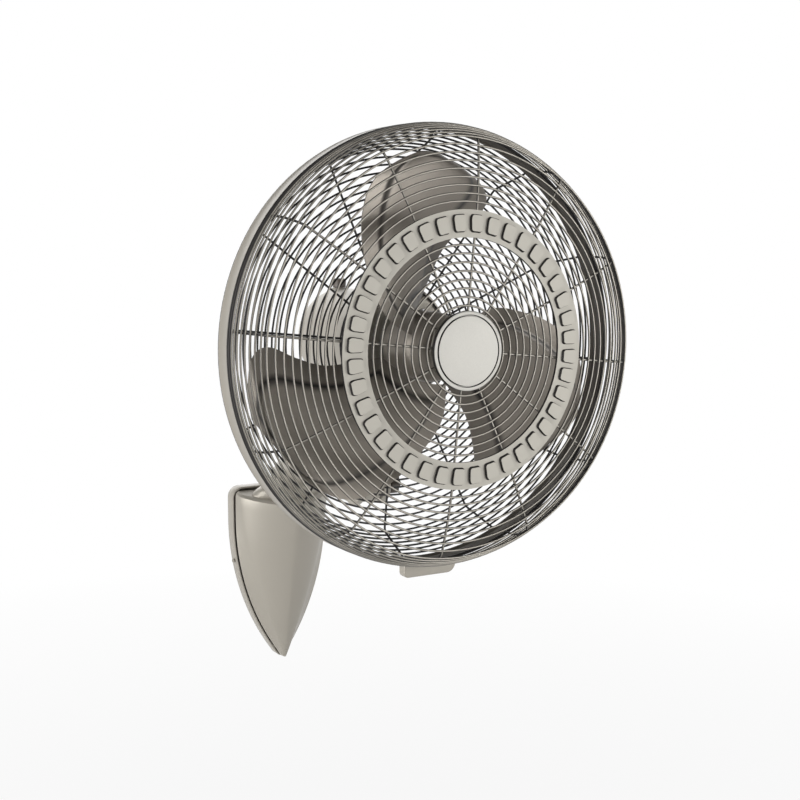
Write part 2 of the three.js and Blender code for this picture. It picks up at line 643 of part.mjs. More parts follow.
function statorShape() {
  const outer = MOTOR_RADIUS - MOTOR_WALL - SEAT_GAP;
  const shape = new THREE.Shape();
  shape.absarc(0, 0, outer, 0, 2 * Math.PI, false);
  const bore = [];
  for (let i = 0; i < STATOR_SLOTS; i += 1) {
    const pitch = (2 * Math.PI) / STATOR_SLOTS;
    for (const [radius, share] of [[STATOR_BORE, -0.32], [STATOR_BORE, 0.32], [42, 0.24], [42, 0.76]]) {
      const turn = pitch * (i + share);
      bore.push(new THREE.Vector2(radius * Math.cos(turn), radius * Math.sin(turn)));
    }
  }
  shape.holes.push(new THREE.Path(bore.reverse()));
  return shape;
}
const statorRear = STATOR_FRONT + STATOR_LENGTH;
add('stator_core', plateOf(statorShape(), statorRear, STATOR_LENGTH, MOTOR_FACETS / 2)
  .translate(0, -REACH, AXIS_HEIGHT), darkSteel);

for (const [name, front] of [
  ['front_winding', STATOR_FRONT - SEAT_GAP - WINDING_LENGTH], ['rear_winding', statorRear + SEAT_GAP]]) {
  const rear = front + WINDING_LENGTH;
  add(name, onAxis(turned([[33, (front + rear) / 2], [37, front], [51, front], [55, (front + rear) / 2],
    [51, rear], [37, rear]], 12)), copper);
}

add('gear_case', onAxis(turned([
  [0, GEAR_CASE_FRONT + BEARING_LENGTH + 2], [bearingBore, GEAR_CASE_FRONT + BEARING_LENGTH + 2],
  [bearingBore, GEAR_CASE_FRONT], [spigot, GEAR_CASE_FRONT], [spigot, GEAR_CASE_FRONT + 20],
  [44, GEAR_CASE_FRONT + GEAR_CASE_LENGTH], [0, GEAR_CASE_FRONT + GEAR_CASE_LENGTH]],
MOTOR_FACETS)), castAluminium);

// ---------------------------------------------------------------------------------------------
// Swing knob: pulled up to stop the swing, pushed down to start it
// ---------------------------------------------------------------------------------------------
const knobStemLow = knobSeat - SWING_KNOB_TRAVEL - SWING_KNOB_HOLD;
const knobCapLow = knobSeat + SEAT_GAP;
add('swing_knob', upright([[0, knobStemLow], [knobBore - SEAT_GAP, knobStemLow],
  [knobBore - SEAT_GAP, knobCapLow], [SWING_KNOB_RADIUS - 1, knobCapLow],
  [SWING_KNOB_RADIUS, knobCapLow + 10], [SWING_KNOB_RADIUS - 3, knobCapLow + 12],
  [0, knobCapLow + 12]], 14, 0, swingKnobY), brownPlastic);

// ---------------------------------------------------------------------------------------------
// Rotor: shaft, core, hub and blades
// ---------------------------------------------------------------------------------------------
const NUT_LENGTH = 12;
const shaftFront = HUB_FRONT - NUT_LENGTH + 3;
add('shaft', onAxis(rod(SHAFT_RADIUS, shaftFront, rearBearing + BEARING_LENGTH, 12)), steel);
const coreRadius = STATOR_BORE - ROTOR_GAP - 1;
add('rotor_core', onAxis(tube(SHAFT_RADIUS + SEAT_GAP, coreRadius, STATOR_FRONT, statorRear, 16)),
  darkSteel);
add('hub', onAxis(turned([
  [SHAFT_RADIUS + SEAT_GAP, HUB_FRONT], [14, HUB_FRONT], [30, HUB_FRONT + 5],
  [HUB_RADIUS, HUB_FRONT + 20], [HUB_RADIUS, HUB_REAR], [HUB_RADIUS - 4, HUB_REAR],
  [HUB_RADIUS - 6, HUB_FRONT + 26], [14, HUB_FRONT + 20], [14, HUB_REAR - 10],
  [SHAFT_RADIUS + SEAT_GAP, HUB_REAR - 10],
], 18)), bladeMetal);
add('hub_nut', onAxis(turned([
  [0, HUB_FRONT - NUT_LENGTH], [8, HUB_FRONT - NUT_LENGTH], [13, HUB_FRONT - NUT_LENGTH + 4],
  [13, HUB_FRONT - SEAT_GAP], [SHAFT_RADIUS + SEAT_GAP, HUB_FRONT - SEAT_GAP],
  [SHAFT_RADIUS + SEAT_GAP, shaftFront - SEAT_GAP], [0, shaftFront - SEAT_GAP]], 12)), blackPlastic);

// Front edge and rear edge of a blade, as [radius, degrees] in the blade's own frame.
const frontEdge = new THREE.SplineCurve([[BLADE_ROOT, 36], [80, 32], [120, 20.5], [155, 8], [185, -2],
  [212, -14], [BLADE_TIP, -30]].map(([r, a]) => new THREE.Vector2(r, a)));
const rearEdge = new THREE.SplineCurve([[BLADE_ROOT, -40], [80, -47], [120, -53], [160, -57],
  [195, -60], [216, -54], [BLADE_TIP, -38]].map(([r, a]) => new THREE.Vector2(r, a)));
const BLADE_ROWS = 8;
const BLADE_COLUMNS = 5;

function bladeGeometry() {
  const rows = [];
  for (let j = 0; j <= BLADE_ROWS; j += 1) {
    const out = j / BLADE_ROWS;
    const front = frontEdge.getPoint(out);
    const rear = rearEdge.getPoint(out);
    const row = [];
    for (let i = 0; i <= BLADE_COLUMNS; i += 1) {
      const across = i / BLADE_COLUMNS;
      const radius = front.x + (rear.x - front.x) * across;
      const turn = THREE.MathUtils.degToRad(front.y + (rear.y - front.y) * across);
      const camber = BLADE_CAMBER * 4 * across * (1 - across);
      const wash = 1 - 0.35 * (radius / BLADE_TIP - 0.5);
      const y = BLADE_FRONT + BLADE_DEPTH * (0.5 + (across - 0.5) * wash) - camber;
      row.push([radius * Math.cos(turn), y, radius * Math.sin(turn)]);
    }
    rows.push(row);
  }
  const rings = rows.map((row) => [
    ...row.map(([x, y, z]) => [x, y - BLADE_SHEET / 2, z]),
    ...row.map(([x, y, z]) => [x, y + BLADE_SHEET / 2, z]).reverse(),
  ]);
  return stripLoft(rings);
}

// A loft whose closing faces join the front skin to the back skin, column by column.
function stripLoft(rings) {
  const count = rings[0].length;
  const half = count / 2;
  const index = [];
  for (let j = 0; j + 1 < rings.length; j += 1) {
    for (let i = 0; i < count; i += 1) {
      const [a, b] = [j * count + i, j * count + (i + 1) % count];
      index.push(a, b, b + count, a, b + count, a + count);
    }
  }
  const last = (rings.length - 1) * count;
  for (let i = 0; i + 1 < half; i += 1) {
    const [a, b, c, d] = [i, i + 1, count - 2 - i, count - 1 - i];
    index.push(a, c, b, a, d, c);
    index.push(last + a, last + b, last + c, last + a, last + c, last + d);
  }
  const geometry = new THREE.BufferGeometry();
  geometry.setAttribute('position', new THREE.Float32BufferAttribute(rings.flat(2), 3));
  geometry.setIndex(index);
  return closed(geometry);
}

for (let k = 0; k < BLADES; k += 1) {
  const blade = bladeGeometry().rotateY(-(2 * Math.PI * (k + 1)) / BLADES);
  add(`blade_${k + 1}`, onAxis(blade), bladeMetal);
}

// ---------------------------------------------------------------------------------------------
// Cage: wire lattices front and rear, and the sheet band between them
// ---------------------------------------------------------------------------------------------
// Rings run from the inside out; each is { radius, y, arcs }, and arcs is the number of straight
// pieces between two spokes. Every wire is a three sided bar with its ridge on the cage's outside.
// With a bend point given, the spokes reach back from the first ring to just short of it.
function wireLattice(rings, outside, bend) {
  const positions = [];
  const index = [];
  const point = (radius, y, turn) => {
    positions.push(radius * Math.cos(turn), y, radius * Math.sin(turn));
    return positions.length / 3 - 1;
  };
  const quad = (a, b, c, d) => index.push(a, b, c, a, c, d);
  const pitch = (2 * Math.PI) / SPOKES;
  const phase = THREE.MathUtils.degToRad(SPOKE_PHASE);
  const profile = rings.map((ring, j) => {
    const before = j > 0 ? rings[j - 1] : bend || rings[0];
    const after = rings[Math.min(j + 1, rings.length - 1)];
    const run = new THREE.Vector2(after.radius - before.radius, after.y - before.y).normalize();
    const out = new THREE.Vector2(run.y * outside, -run.x * outside);
    return { ...ring, run, out };
  });
  const place = ({ radius, y, run, out }, along, up) =>
    [radius + run.x * along + out.x * up, y + run.y * along + out.y * up];

  const nodes = profile.map((ring) => {
    const inner = place(ring, -WIRE / 2, -WIRE / 2);
    const outer = place(ring, WIRE / 2, -WIRE / 2);
    const ridge = place(ring, 0, WIRE / 2);
    const edge = ([radius, y], turn, side) =>
      point(radius, y, turn + side * Math.asin(SPOKE_WIRE / 2 / radius));
    return Array.from({ length: SPOKES }, (_, k) => {
      const turn = phase + k * pitch;
      const between = ring.arcs === 2 ? {
        inner: point(...inner, turn + pitch / 2),
        outer: point(...outer, turn + pitch / 2),
        ridge: point(...ridge, turn + pitch / 2),
      } : null;
      return {
        innerLow: edge(inner, turn, -1), innerHigh: edge(inner, turn, 1),
        outerLow: edge(outer, turn, -1), outerHigh: edge(outer, turn, 1),
        ridge: point(...ridge, turn), between,
      };
    });
  });

  nodes.forEach((ring, j) => ring.forEach((node, k) => {
    const next = ring[(k + 1) % SPOKES];
    quad(node.innerHigh, node.outerHigh, node.outerLow, node.innerLow);
    const arc = (a, b) => {
      quad(a.inner, b.inner, b.outer, a.outer);
      quad(a.inner, a.ridge, b.ridge, b.inner);
      quad(a.ridge, a.outer, b.outer, b.ridge);
    };
    const leave = { inner: node.innerHigh, outer: node.outerHigh, ridge: node.ridge };
    const arrive = { inner: next.innerLow, outer: next.outerLow, ridge: next.ridge };
    if (node.between) {
      arc(leave, node.between);
      arc(node.between, arrive);
    } else {
      arc(leave, arrive);
    }
    const beyond = nodes[j + 1] && nodes[j + 1][k];
    if (beyond) {
      quad(node.outerHigh, beyond.innerHigh, beyond.innerLow, node.outerLow);
      quad(node.outerLow, beyond.innerLow, beyond.ridge, node.ridge);
      quad(node.ridge, beyond.ridge, beyond.innerHigh, node.outerHigh);
    } else {
      index.push(node.ridge, node.outerLow, node.outerHigh);
    }
    if (j > 0) return;
    if (!bend) {
      index.push(node.innerLow, node.ridge, node.innerHigh);
      return;
    }
    const turn = phase + k * pitch;
    const run = new THREE.Vector2(rings[0].radius - bend.radius, rings[0].y - bend.y).normalize();
    const out = new THREE.Vector2(run.y * outside, -run.x * outside);
    const tip = { ...bend, run, out };
    const short = WIRE / 2 + 2 * SEAT_GAP;
    const [flatRadius, flatY] = place(tip, short, -WIRE / 2);
    const spread = Math.asin(SPOKE_WIRE / 2 / flatRadius);
    const low = point(flatRadius, flatY, turn - spread);
    const high = point(flatRadius, flatY, turn + spread);
    const ridge = point(...place(tip, short, WIRE / 2), turn);
    quad(high, node.innerHigh, node.innerLow, low);
    quad(low, node.innerLow, node.ridge, ridge);
    quad(ridge, node.ridge, node.innerHigh, high);
    index.push(high, low, ridge);
  }));

  const geometry = new THREE.BufferGeometry();
  geometry.setAttribute('position', new THREE.Float32BufferAttribute(positions, 3));
  geometry.setIndex(index);
  return closed(geometry);
}

const COARSE_BELOW = 125; // rings smaller than this have one straight piece between spokes
const ringAt = (radius, y) => ({ radius, y, arcs: radius < COARSE_BELOW ? 1 : 2 });
const evenly = (from, to, pitch) => {
  const count = Math.max(Math.round(Math.abs(to - from) / pitch), 1);
  return Array.from({ length: count + 1 }, (_, i) => from + ((to - from) * i) / count);
};

// Front face: flat behind the trim, then falling back to the corner.
function frontFaceY(radius) {
  if (radius <= TRIM_OUTER) return FRONT_CENTRE;
  const share = (radius - TRIM_OUTER) / (CORNER_RADIUS - TRIM_OUTER);
  return FRONT_CENTRE + (FRONT_CORNER - FRONT_CENTRE) * share ** 1.6;
}
const frontFaceRings = [
  ...evenly(BADGE_RADIUS - 4, TRIM_INNER - 8, FRONT_INNER_PITCH),
  ...evenly(TRIM_OUTER + FRONT_RING_PITCH, CORNER_RADIUS, FRONT_RING_PITCH),
].map((radius) => ringAt(radius, frontFaceY(radius)));
add('front_grille_face', onAxis(wireLattice(frontFaceRings, 1)), wire);

// A side runs from the corner out to the rim, with a slight bulge.
const RIM_WIRE_RADIUS = CAGE_RADIUS - 3;
function sideRings(cornerY, rimY, count) {
  const rings = [];
  for (let i = 1; i <= count + 1; i += 1) {
    const share = i / (count + 1);
    const radius = CORNER_RADIUS + (RIM_WIRE_RADIUS - CORNER_RADIUS) * Math.sin((share * Math.PI) / 2)
      + SIDE_BULGE * Math.sin(share * Math.PI);
    rings.push(ringAt(radius, cornerY + (rimY - cornerY) * share));
  }
  return rings;
}
const frontRimY = -WIRE / 2 - SEAT_GAP;
const cornerAt = (y) => ({ radius: CORNER_RADIUS, y });
add('front_grille_side', onAxis(wireLattice(
  sideRings(FRONT_CORNER, frontRimY, FRONT_SIDE_RINGS), 1, cornerAt(FRONT_CORNER))), wire);

function rearFaceY(radius) {
  const share = (radius - REAR_INNER_RING) / (CORNER_RADIUS - REAR_INNER_RING);
  return REAR_CENTRE + (REAR_CORNER - REAR_CENTRE) * share;
}
const rearFaceRings = evenly(REAR_INNER_RING, CORNER_RADIUS, REAR_RING_PITCH)
  .map((radius) => ringAt(radius, rearFaceY(radius)));
add('rear_grille_face', onAxis(wireLattice(rearFaceRings, -1)), wire);
const rearRimY = BAND_DEPTH + WIRE / 2 + SEAT_GAP;
add('rear_grille_side', onAxis(wireLattice(
  sideRings(REAR_CORNER, rearRimY, REAR_SIDE_RINGS), -1, cornerAt(REAR_CORNER))), wire);

const LIP = 4; // the band's rims turn in by this much
add('cage_band', onAxis(turned([
  [CAGE_RADIUS, 0], [CAGE_RADIUS - BAND_TAPER, BAND_DEPTH], [CAGE_RADIUS - BAND_TAPER - LIP, BAND_DEPTH],
  [CAGE_RADIUS - BAND_TAPER - BAND_SHEET, BAND_DEPTH - LIP],
  [CAGE_RADIUS - BAND_SHEET, LIP], [CAGE_RADIUS - LIP, 0],
], 40)), nickel);

// ---------------------------------------------------------------------------------------------
// Cage plate: carries the rear grille on the motor's front bell
// ---------------------------------------------------------------------------------------------
const CAGE_PLATE_RADIUS = 74;
const CAGE_PLATE_SHEET = 2;
const CAGE_SCREW_CIRCLE = 52;
const cagePlateRear = bellFront - SEAT_GAP;
const cagePlateFront = REAR_CENTRE + WIRE / 2 + SEAT_GAP;
const cageScrews = [45, 135, 225, 315].map(THREE.MathUtils.degToRad)
  .map((turn) => [CAGE_SCREW_CIRCLE * Math.cos(turn), CAGE_SCREW_CIRCLE * Math.sin(turn)]);
add('cage_plate', onAxis(cut(
  turned([[24, cagePlateFront], [CAGE_PLATE_RADIUS, cagePlateFront],
    [CAGE_PLATE_RADIUS, cagePlateFront + CAGE_PLATE_SHEET], [MOTOR_RADIUS, cagePlateFront + CAGE_PLATE_SHEET],
    [MOTOR_RADIUS - 2, cagePlateRear], [24, cagePlateRear]], 20),
  ...cageScrews.map(([x, z]) =>
    rod(2.5 + SEAT_GAP, cagePlateFront - 5, cagePlateRear + 5, 6).translate(x, 0, z)),
)), nickel);
cageScrews.forEach(([x, z], i) => {
  const seat = cagePlateFront - SEAT_GAP;
  add(`cage_screw_${i + 1}`, onAxis(turned([[0, seat - 3], [4.5, seat - 2.4], [4.8, seat], [2.5, seat],
    [2.5, cagePlateRear - 0.1], [0, cagePlateRear - 0.1]], 6).translate(x, 0, z)), steel);
});

// ---------------------------------------------------------------------------------------------
// Front trim: ring with sunk pockets, and the centre badge with its back plate
// ---------------------------------------------------------------------------------------------
function pocketShape() {
  const half = POCKET_WIDTH / 2;
  const inner = -POCKET_LENGTH / 2;
  const outer = POCKET_LENGTH / 2;
  return new THREE.Shape([
    [inner, -half + 1.5], [outer - 6, -half], [outer, -half + 5],
    [outer, half - 5], [outer - 6, half], [inner, half - 1.5],
  ].map(([along, across]) => new THREE.Vector2(along, across)));
}
const trimBack = FRONT_CENTRE - WIRE / 2 - SEAT_GAP;
const trimFront = trimBack - TRIM_THICKNESS;
const pocketMiddle = (TRIM_INNER + TRIM_OUTER) / 2 + 1;
const pockets = Array.from({ length: POCKETS }, (_, i) => plateOf(pocketShape(), trimFront + POCKET_DEPTH, 6)
  .translate(pocketMiddle, 0, 0).rotateY((2 * Math.PI * (i + 0.5)) / POCKETS));
add('trim_ring', onAxis(cut(
  tube(TRIM_INNER, TRIM_OUTER, trimFront, trimBack, POCKETS),
  ...pockets,
)), nickel);

const badgeFront = trimBack - BADGE_THICKNESS;
const BADGE_SCREW_RADIUS = 2;
add('badge', onAxis(turned([
  [0, trimBack - 2], [BADGE_RADIUS - 2, trimBack - 2], [BADGE_RADIUS - 2, trimBack], [BADGE_RADIUS, trimBack],
  [BADGE_RADIUS, badgeFront + 2.5], [BADGE_RADIUS - 1.5, badgeFront + 1],
  [BADGE_RADIUS - 5, badgeFront + 2], [BADGE_RADIUS - 6, badgeFront + 0.6], [0, badgeFront]], 24)), nickel);

const clampFront = FRONT_CENTRE + WIRE / 2 + SEAT_GAP;
add('badge_clamp', onAxis(turned([
  [BADGE_SCREW_RADIUS + SEAT_GAP, trimBack - 2 + SEAT_GAP], [10, trimBack - 2 + SEAT_GAP], [10, clampFront],
  [BADGE_RADIUS, clampFront], [BADGE_RADIUS, clampFront + 2],
  [BADGE_SCREW_RADIUS + SEAT_GAP, clampFront + 2]],
12)), nickel);
add('badge_screw', onAxis(turned([
  [0, trimBack - 2 + 2 * SEAT_GAP], [BADGE_SCREW_RADIUS, trimBack - 2 + 2 * SEAT_GAP],
  [BADGE_SCREW_RADIUS, clampFront + 2 + SEAT_GAP], [4, clampFront + 2 + SEAT_GAP],
  [3.4, clampFront + 4.5], [0, clampFront + 4.8]], 8)), steel);

// ---------------------------------------------------------------------------------------------
// Latch block under the band, which locks the two grilles to it
// ---------------------------------------------------------------------------------------------
function latchShape() {
  const seat = CAGE_RADIUS + SEAT_GAP;
  const low = -CAGE_RADIUS - LATCH_HEIGHT;
  const lean = Math.asin(LATCH_HALF_WIDTH / seat);
  const shape = new THREE.Shape();
  shape.absarc(0, 0, seat, -Math.PI / 2 + lean, -Math.PI / 2 - lean, true);
  shape.absarc(-LATCH_HALF_WIDTH + 6, low + 6, 6, Math.PI, 1.5 * Math.PI, false);
  shape.absarc(LATCH_HALF_WIDTH - 12, low + 12, 12, -Math.PI / 2, 0, false);
  return shape;
}
add('cage_latch', onAxis(plateOf(latchShape(), LATCH_STATION + LATCH_DEPTH, LATCH_DEPTH, 6)), nickel);

export default fan;
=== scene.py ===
import bmesh
import bpy
from math import asin, atan2, cos, hypot, pi, radians, sin, sqrt
from mathutils import Matrix, Vector


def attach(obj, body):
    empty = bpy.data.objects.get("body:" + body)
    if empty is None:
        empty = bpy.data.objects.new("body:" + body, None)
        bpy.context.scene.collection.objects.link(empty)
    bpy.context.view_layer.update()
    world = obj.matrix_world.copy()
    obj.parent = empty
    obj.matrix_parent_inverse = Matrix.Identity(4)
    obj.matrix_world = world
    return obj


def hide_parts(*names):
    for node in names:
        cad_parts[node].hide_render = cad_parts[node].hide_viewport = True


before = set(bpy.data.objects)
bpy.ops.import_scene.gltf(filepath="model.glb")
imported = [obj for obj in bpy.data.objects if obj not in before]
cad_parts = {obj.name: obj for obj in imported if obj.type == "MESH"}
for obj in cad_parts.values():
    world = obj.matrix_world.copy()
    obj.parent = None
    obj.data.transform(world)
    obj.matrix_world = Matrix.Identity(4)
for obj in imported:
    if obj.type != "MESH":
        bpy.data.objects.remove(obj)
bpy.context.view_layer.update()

# ---------------------------------------------------------------------------------------------
# The stage: a pale floor far below the fan, soft lamps, and the camera.
# The fan hangs on a wall, so nothing stands behind it and the background is plain white.
# Metal sees white walls and a dark ceiling. The camera stands left of the fan, a little above its axis.
# ---------------------------------------------------------------------------------------------
scene = bpy.context.scene
scene.view_settings.view_transform = "Standard"

camera = bpy.data.objects.new("camera", bpy.data.cameras.new("camera"))
scene.collection.objects.link(camera)
scene.camera = camera
camera.data.sensor_width = 36
camera.data.lens = 57.4
camera.data.clip_end = 60
camera.location = (-0.7783, -1.7390, 0.4457)
camera.rotation_mode = "QUATERNION"
camera.rotation_quaternion = Vector((0.4943, 0.8621, -0.1118)).to_track_quat("-Z", "Y")


class Value:
    """A socket of a material's node tree, with the sums that can be done on it."""

    def __init__(self, finish, socket):
        self.finish = finish
        self.socket = socket

    def sum(self, operation, first, second=0.0):
        return self.finish.node("ShaderNodeMath", {"operation": operation}, {0: first, 1: second})

    def __add__(self, other):
        return self.sum("ADD", self, other)

    def __radd__(self, other):
        return self.sum("ADD", other, self)

    def __sub__(self, other):
        return self.sum("SUBTRACT", self, other)

    def __rsub__(self, other):
        return self.sum("SUBTRACT", other, self)

    def __mul__(self, other):
        return self.sum("MULTIPLY", self, other)

    def __rmul__(self, other):
        return self.sum("MULTIPLY", other, self)

    def __pow__(self, other):
        return self.sum("POWER", self, other)

    def most(self, other):
        return self.sum("MAXIMUM", self, other)

    def least(self, other):
        return self.sum("MINIMUM", self, other)


class Finish:
    """A material, or the world, whose nodes are added one at a time."""

    def __init__(self, name, owner=None):
        self.made = owner or bpy.data.materials.new(name)
        self.made.use_nodes = True
        self.tree = self.made.node_tree
        self.tree.nodes.clear()

    def node(self, kind, settings=None, values=None, out=0):
        made = self.tree.nodes.new(kind)
        for name, value in (settings or {}).items():
            if name == "stops":
                ramp = made.color_ramp
                while len(ramp.elements) < len(value):
                    ramp.elements.new(0.5)
                for stop, (place, colour) in zip(ramp.elements, value):
                    stop.position = place
                    stop.color = (*colour, 1)
            else:
                setattr(made, name, value)
        for key, value in (values or {}).items():
            if isinstance(value, Value):
                self.tree.links.new(value.socket, made.inputs[key])
            elif isinstance(value, tuple) and len(value) == 3 and made.inputs[key].type == "RGBA":
                made.inputs[key].default_value = (*value, 1)
            else:
                made.inputs[key].default_value = value
        return Value(self, None if out is None else made.outputs[out])

    def blend(self, share, first, second):
        """Mixes two colours."""
        return self.node("ShaderNodeMix", {"data_type": "RGBA"}, {0: share, 6: first, 7: second}, out=2)

    def noise(self, scale, stretch=(1, 1, 1), detail=3.0, turn=(0, 0, 0)):
        place = self.node("ShaderNodeTexCoord", out=3)
        if stretch != (1, 1, 1) or turn != (0, 0, 0):
            place = self.node("ShaderNodeMapping", {}, {"Vector": place, "Rotation": turn, "Scale": stretch})
        return self.node("ShaderNodeTexNoise", {}, {"Vector": place, "Scale": scale, "Detail": detail})

    def surface(self, values, bump=None, depth=0.0001):
        if bump is not None:
            values["Normal"] = self.node("ShaderNodeBump", {}, {"Height": bump, "Distance": depth})
        shader = self.node("ShaderNodeBsdfPrincipled", {}, values)
        self.ends(shader)
        return self.made

    def ends(self, shader):
        kind = "World" if isinstance(self.made, bpy.types.World) else "Material"
        self.node("ShaderNodeOutput" + kind, {}, {"Surface": shader}, out=None)


world = bpy.data.worlds.new("studio")
scene.world = world
studio = Finish("studio", world)


def background_rays(finish):
    """One where a ray from the camera, off metal or through glass arrives, and nought elsewhere."""
    kinds = ("Camera", "Glossy", "Transmission")
    seen, gloss, glass = [finish.node("ShaderNodeLightPath", out="Is %s Ray" % kind) for kind in kinds]
    return seen.most(gloss).most(glass)


PLAIN_LIGHT = 0.25
CEILING_DARK = 0.85
direction = studio.node("ShaderNodeTexCoord", out="Generated")
rise = studio.node("ShaderNodeSeparateXYZ", {}, {0: direction}, out="Z")
ceiling = studio.node("ShaderNodeMapRange", {"interpolation_type": "SMOOTHSTEP"}, {0: rise, 1: 0.25, 2: 0.80})
walls = background_rays(studio) * (1 - ceiling * CEILING_DARK)
white = walls.most(studio.node("ShaderNodeLightPath", out="Is Camera Ray"))
strength = PLAIN_LIGHT + white * (1 - PLAIN_LIGHT)
studio.ends(studio.node("ShaderNodeBackground", {}, {"Color": (1, 1, 1), "Strength": strength}))

FLOOR = -0.62
floor_paint = Finish("floor_paint")
spot = floor_paint.node("ShaderNodeTexCoord", out="Object")
far = floor_paint.node("ShaderNodeVectorMath", {"operation": "LENGTH"}, {0: spot}, out="Value")
paper = floor_paint.node("ShaderNodeBsdfDiffuse", {}, {"Color": (0.75, 0.75, 0.75)})
glow = floor_paint.node("ShaderNodeEmission", {}, {"Color": (1, 1, 1), "Strength": 1.0})
share = (0.8 + far * 0.08).least(1.0) * background_rays(floor_paint)
floor_paint.ends(floor_paint.node("ShaderNodeMixShader", {}, {0: share, 1: paper, 2: glow}))
floor_mesh = bmesh.new()
level = Matrix.Translation((0, 0, FLOOR))
bmesh.ops.create_grid(floor_mesh, x_segments=1, y_segments=1, size=12, matrix=level)
floor_data = bpy.data.meshes.new("floor")
floor_mesh.to_mesh(floor_data)
floor_mesh.free()
floor_data.materials.append(floor_paint.made)
floor = bpy.data.objects.new("floor", floor_data)
scene.collection.objects.link(floor)

for name, place, target, size, power in (
    ("lamp_front", (1.5, -2.2, 0.35), (0, -0.4, 0.3), 0.7, 23),
    ("lamp_left", (-2.2, -0.6, 0.3), (0, -0.2, 0.1), 1.8, 52),
    ("lamp_back", (0.4, 1.9, 0.9), (0, -0.3, 0.3), 1.8, 14),
):
    lamp = bpy.data.objects.new(name, bpy.data.lights.new(name, "AREA"))
    lamp.data.size = size
    lamp.data.energy = power
    lamp.location = place
    lamp.rotation_mode = "QUATERNION"
    lamp.rotation_quaternion = (Vector(target) - Vector(place)).to_track_quat("-Z", "Y")
    scene.collection.objects.link(lamp)

# ---------------------------------------------------------------------------------------------
# Wall plate: a shallow shield shaped tray, pressed from sheet and plated in satin nickel.
# Two screws hold it to the wall, and its rim shows as a thin edge behind the cover.
# ---------------------------------------------------------------------------------------------
PLATE_HALF = 0.075
PLATE_CROWN = 0.109
PLATE_SIDE_FOOT = 0.060
PLATE_FLANK = 0.360
PLATE_TIP = 0.008
PLATE_CORNER = 0.016
PLATE_DEEP = 0.020
PLATE_SHEET = 0.0025
ARM_R = 0.025
ARM_WAY = ARM_R + 0.001
WIRE_HOLE_Z = -0.030
WIRE_HOLE_R = 0.011
# Near black, painted as shade along the blades' panel steps and rear strips.
PAINTED_SHADE = (0.015, 0.013, 0.012)
TURNED_AWAY = 0.42
FACING_OUT = 0.75


def satin_nickel(name, colour, rough=0.36, metal=0.35, drift=0.05, gloss=0.35,
                 sides=None, rear=False, shaded=None):
    """Plated steel, finely sanded, so that its tone and shine drift a little over the surface.

    With sides, faces that turn away from the front and the back get that dark colour as painted shade,
    and with rear, only faces that look back stay bare. With shaded, the mesh's own mark paints shade on it."""
    finish = Finish(name)
    cloud = finish.noise(9.0, detail=2.0)
    grain = finish.noise(2600.0, detail=2.0)
    light = tuple(min(1, part * (1 + drift)) for part in colour)
    dark = tuple(part * (1 - drift) for part in colour)
    tone = finish.blend(cloud * 0.7 + grain * 0.3, dark, light)
    # The mesh's mark paints shade onto the tone and takes away metal.
    if shaded:
        mark = finish.node("ShaderNodeAttribute", {"attribute_name": shaded}, out="Fac")
        tone = finish.blend(mark, tone, PAINTED_SHADE)
        metal = metal - mark * metal
    # Faces turned sideways get the dark colour as painted shade and lose their metal.
    if sides:
        normal = finish.node("ShaderNodeTexCoord", out="Normal")
        facing = finish.node("ShaderNodeSeparateXYZ", {}, {0: normal}, out="Y")
        towards = facing if rear else facing * facing
        front = finish.node("ShaderNodeMapRange", {"interpolation_type": "SMOOTHSTEP"},
                            {0: towards, 1: TURNED_AWAY, 2: FACING_OUT})
        tone = finish.blend(front, sides, tone)
        metal = front * metal
    return finish.surface(
        {"Base Color": tone, "Metallic": metal, "Specular IOR Level": gloss,
         "Roughness": rough - 0.05 + cloud * 0.06 + grain * 0.05},
        bump=grain, depth=0.00004)


NICKEL = (0.36, 0.335, 0.29)
# Near black, painted as shade onto side walls, the band's front lip and the rim wires.
DARK_PAINTED_SHADE = (0.018, 0.016, 0.015)
nickel = satin_nickel("nickel_satin", NICKEL)


def smoothed(bm, bend=35):
    """Turns the faces outwards and keeps hard edges only where the surface bends sharply."""
    bmesh.ops.remove_doubles(bm, verts=bm.verts, dist=1e-6)
    bmesh.ops.dissolve_degenerate(bm, edges=bm.edges, dist=1e-7)
    bmesh.ops.recalc_face_normals(bm, faces=bm.faces)
    for face in bm.faces:
        face.smooth = True
    for edge in bm.edges:
        edge.smooth = len(edge.link_faces) == 2 and edge.calc_face_angle(0) < radians(bend)


def eased(bm, width, bend=35, segments=2):
    """Rounds every edge that bends sharply."""
    bmesh.ops.remove_doubles(bm, verts=bm.verts, dist=1e-6)
    bmesh.ops.recalc_face_normals(bm, faces=bm.faces)
    sharp = [e for e in bm.edges if len(e.link_faces) == 2 and e.calc_face_angle(0) > radians(bend)]
    bmesh.ops.bevel(bm, geom=sharp, offset=width, offset_type="OFFSET", segments=segments,
                    profile=0.5, affect="EDGES", material=-1, clamp_overlap=True)


def placed(name, bm, body, finish, stands_for=(), bend=35, flats=False):
    """Makes the finished piece and lets it ride on its body. With flats, wide faces shade flat."""
    smoothed(bm, bend)
    mesh = bpy.data.meshes.new(name)
    bm.to_mesh(mesh)
    bm.free()
    mesh.materials.append(finish)
    piece = bpy.data.objects.new(name, mesh)
    scene.collection.objects.link(piece)
    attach(piece, body)
    if stands_for:
        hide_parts(*stands_for)
    if flats:
        piece.modifiers.new("flats", "WEIGHTED_NORMAL").keep_sharp = True
    return piece


def spun(bm, geom, centre, axis, angle, steps, closed=False):
    """Spins corners and edges about an axis and returns the last of them."""
    return bmesh.ops.spin(bm, geom=geom, cent=centre, axis=axis, angle=angle, steps=steps,
                          use_merge=closed, use_normal_flip=False, use_duplicate=False)["geom_last"]


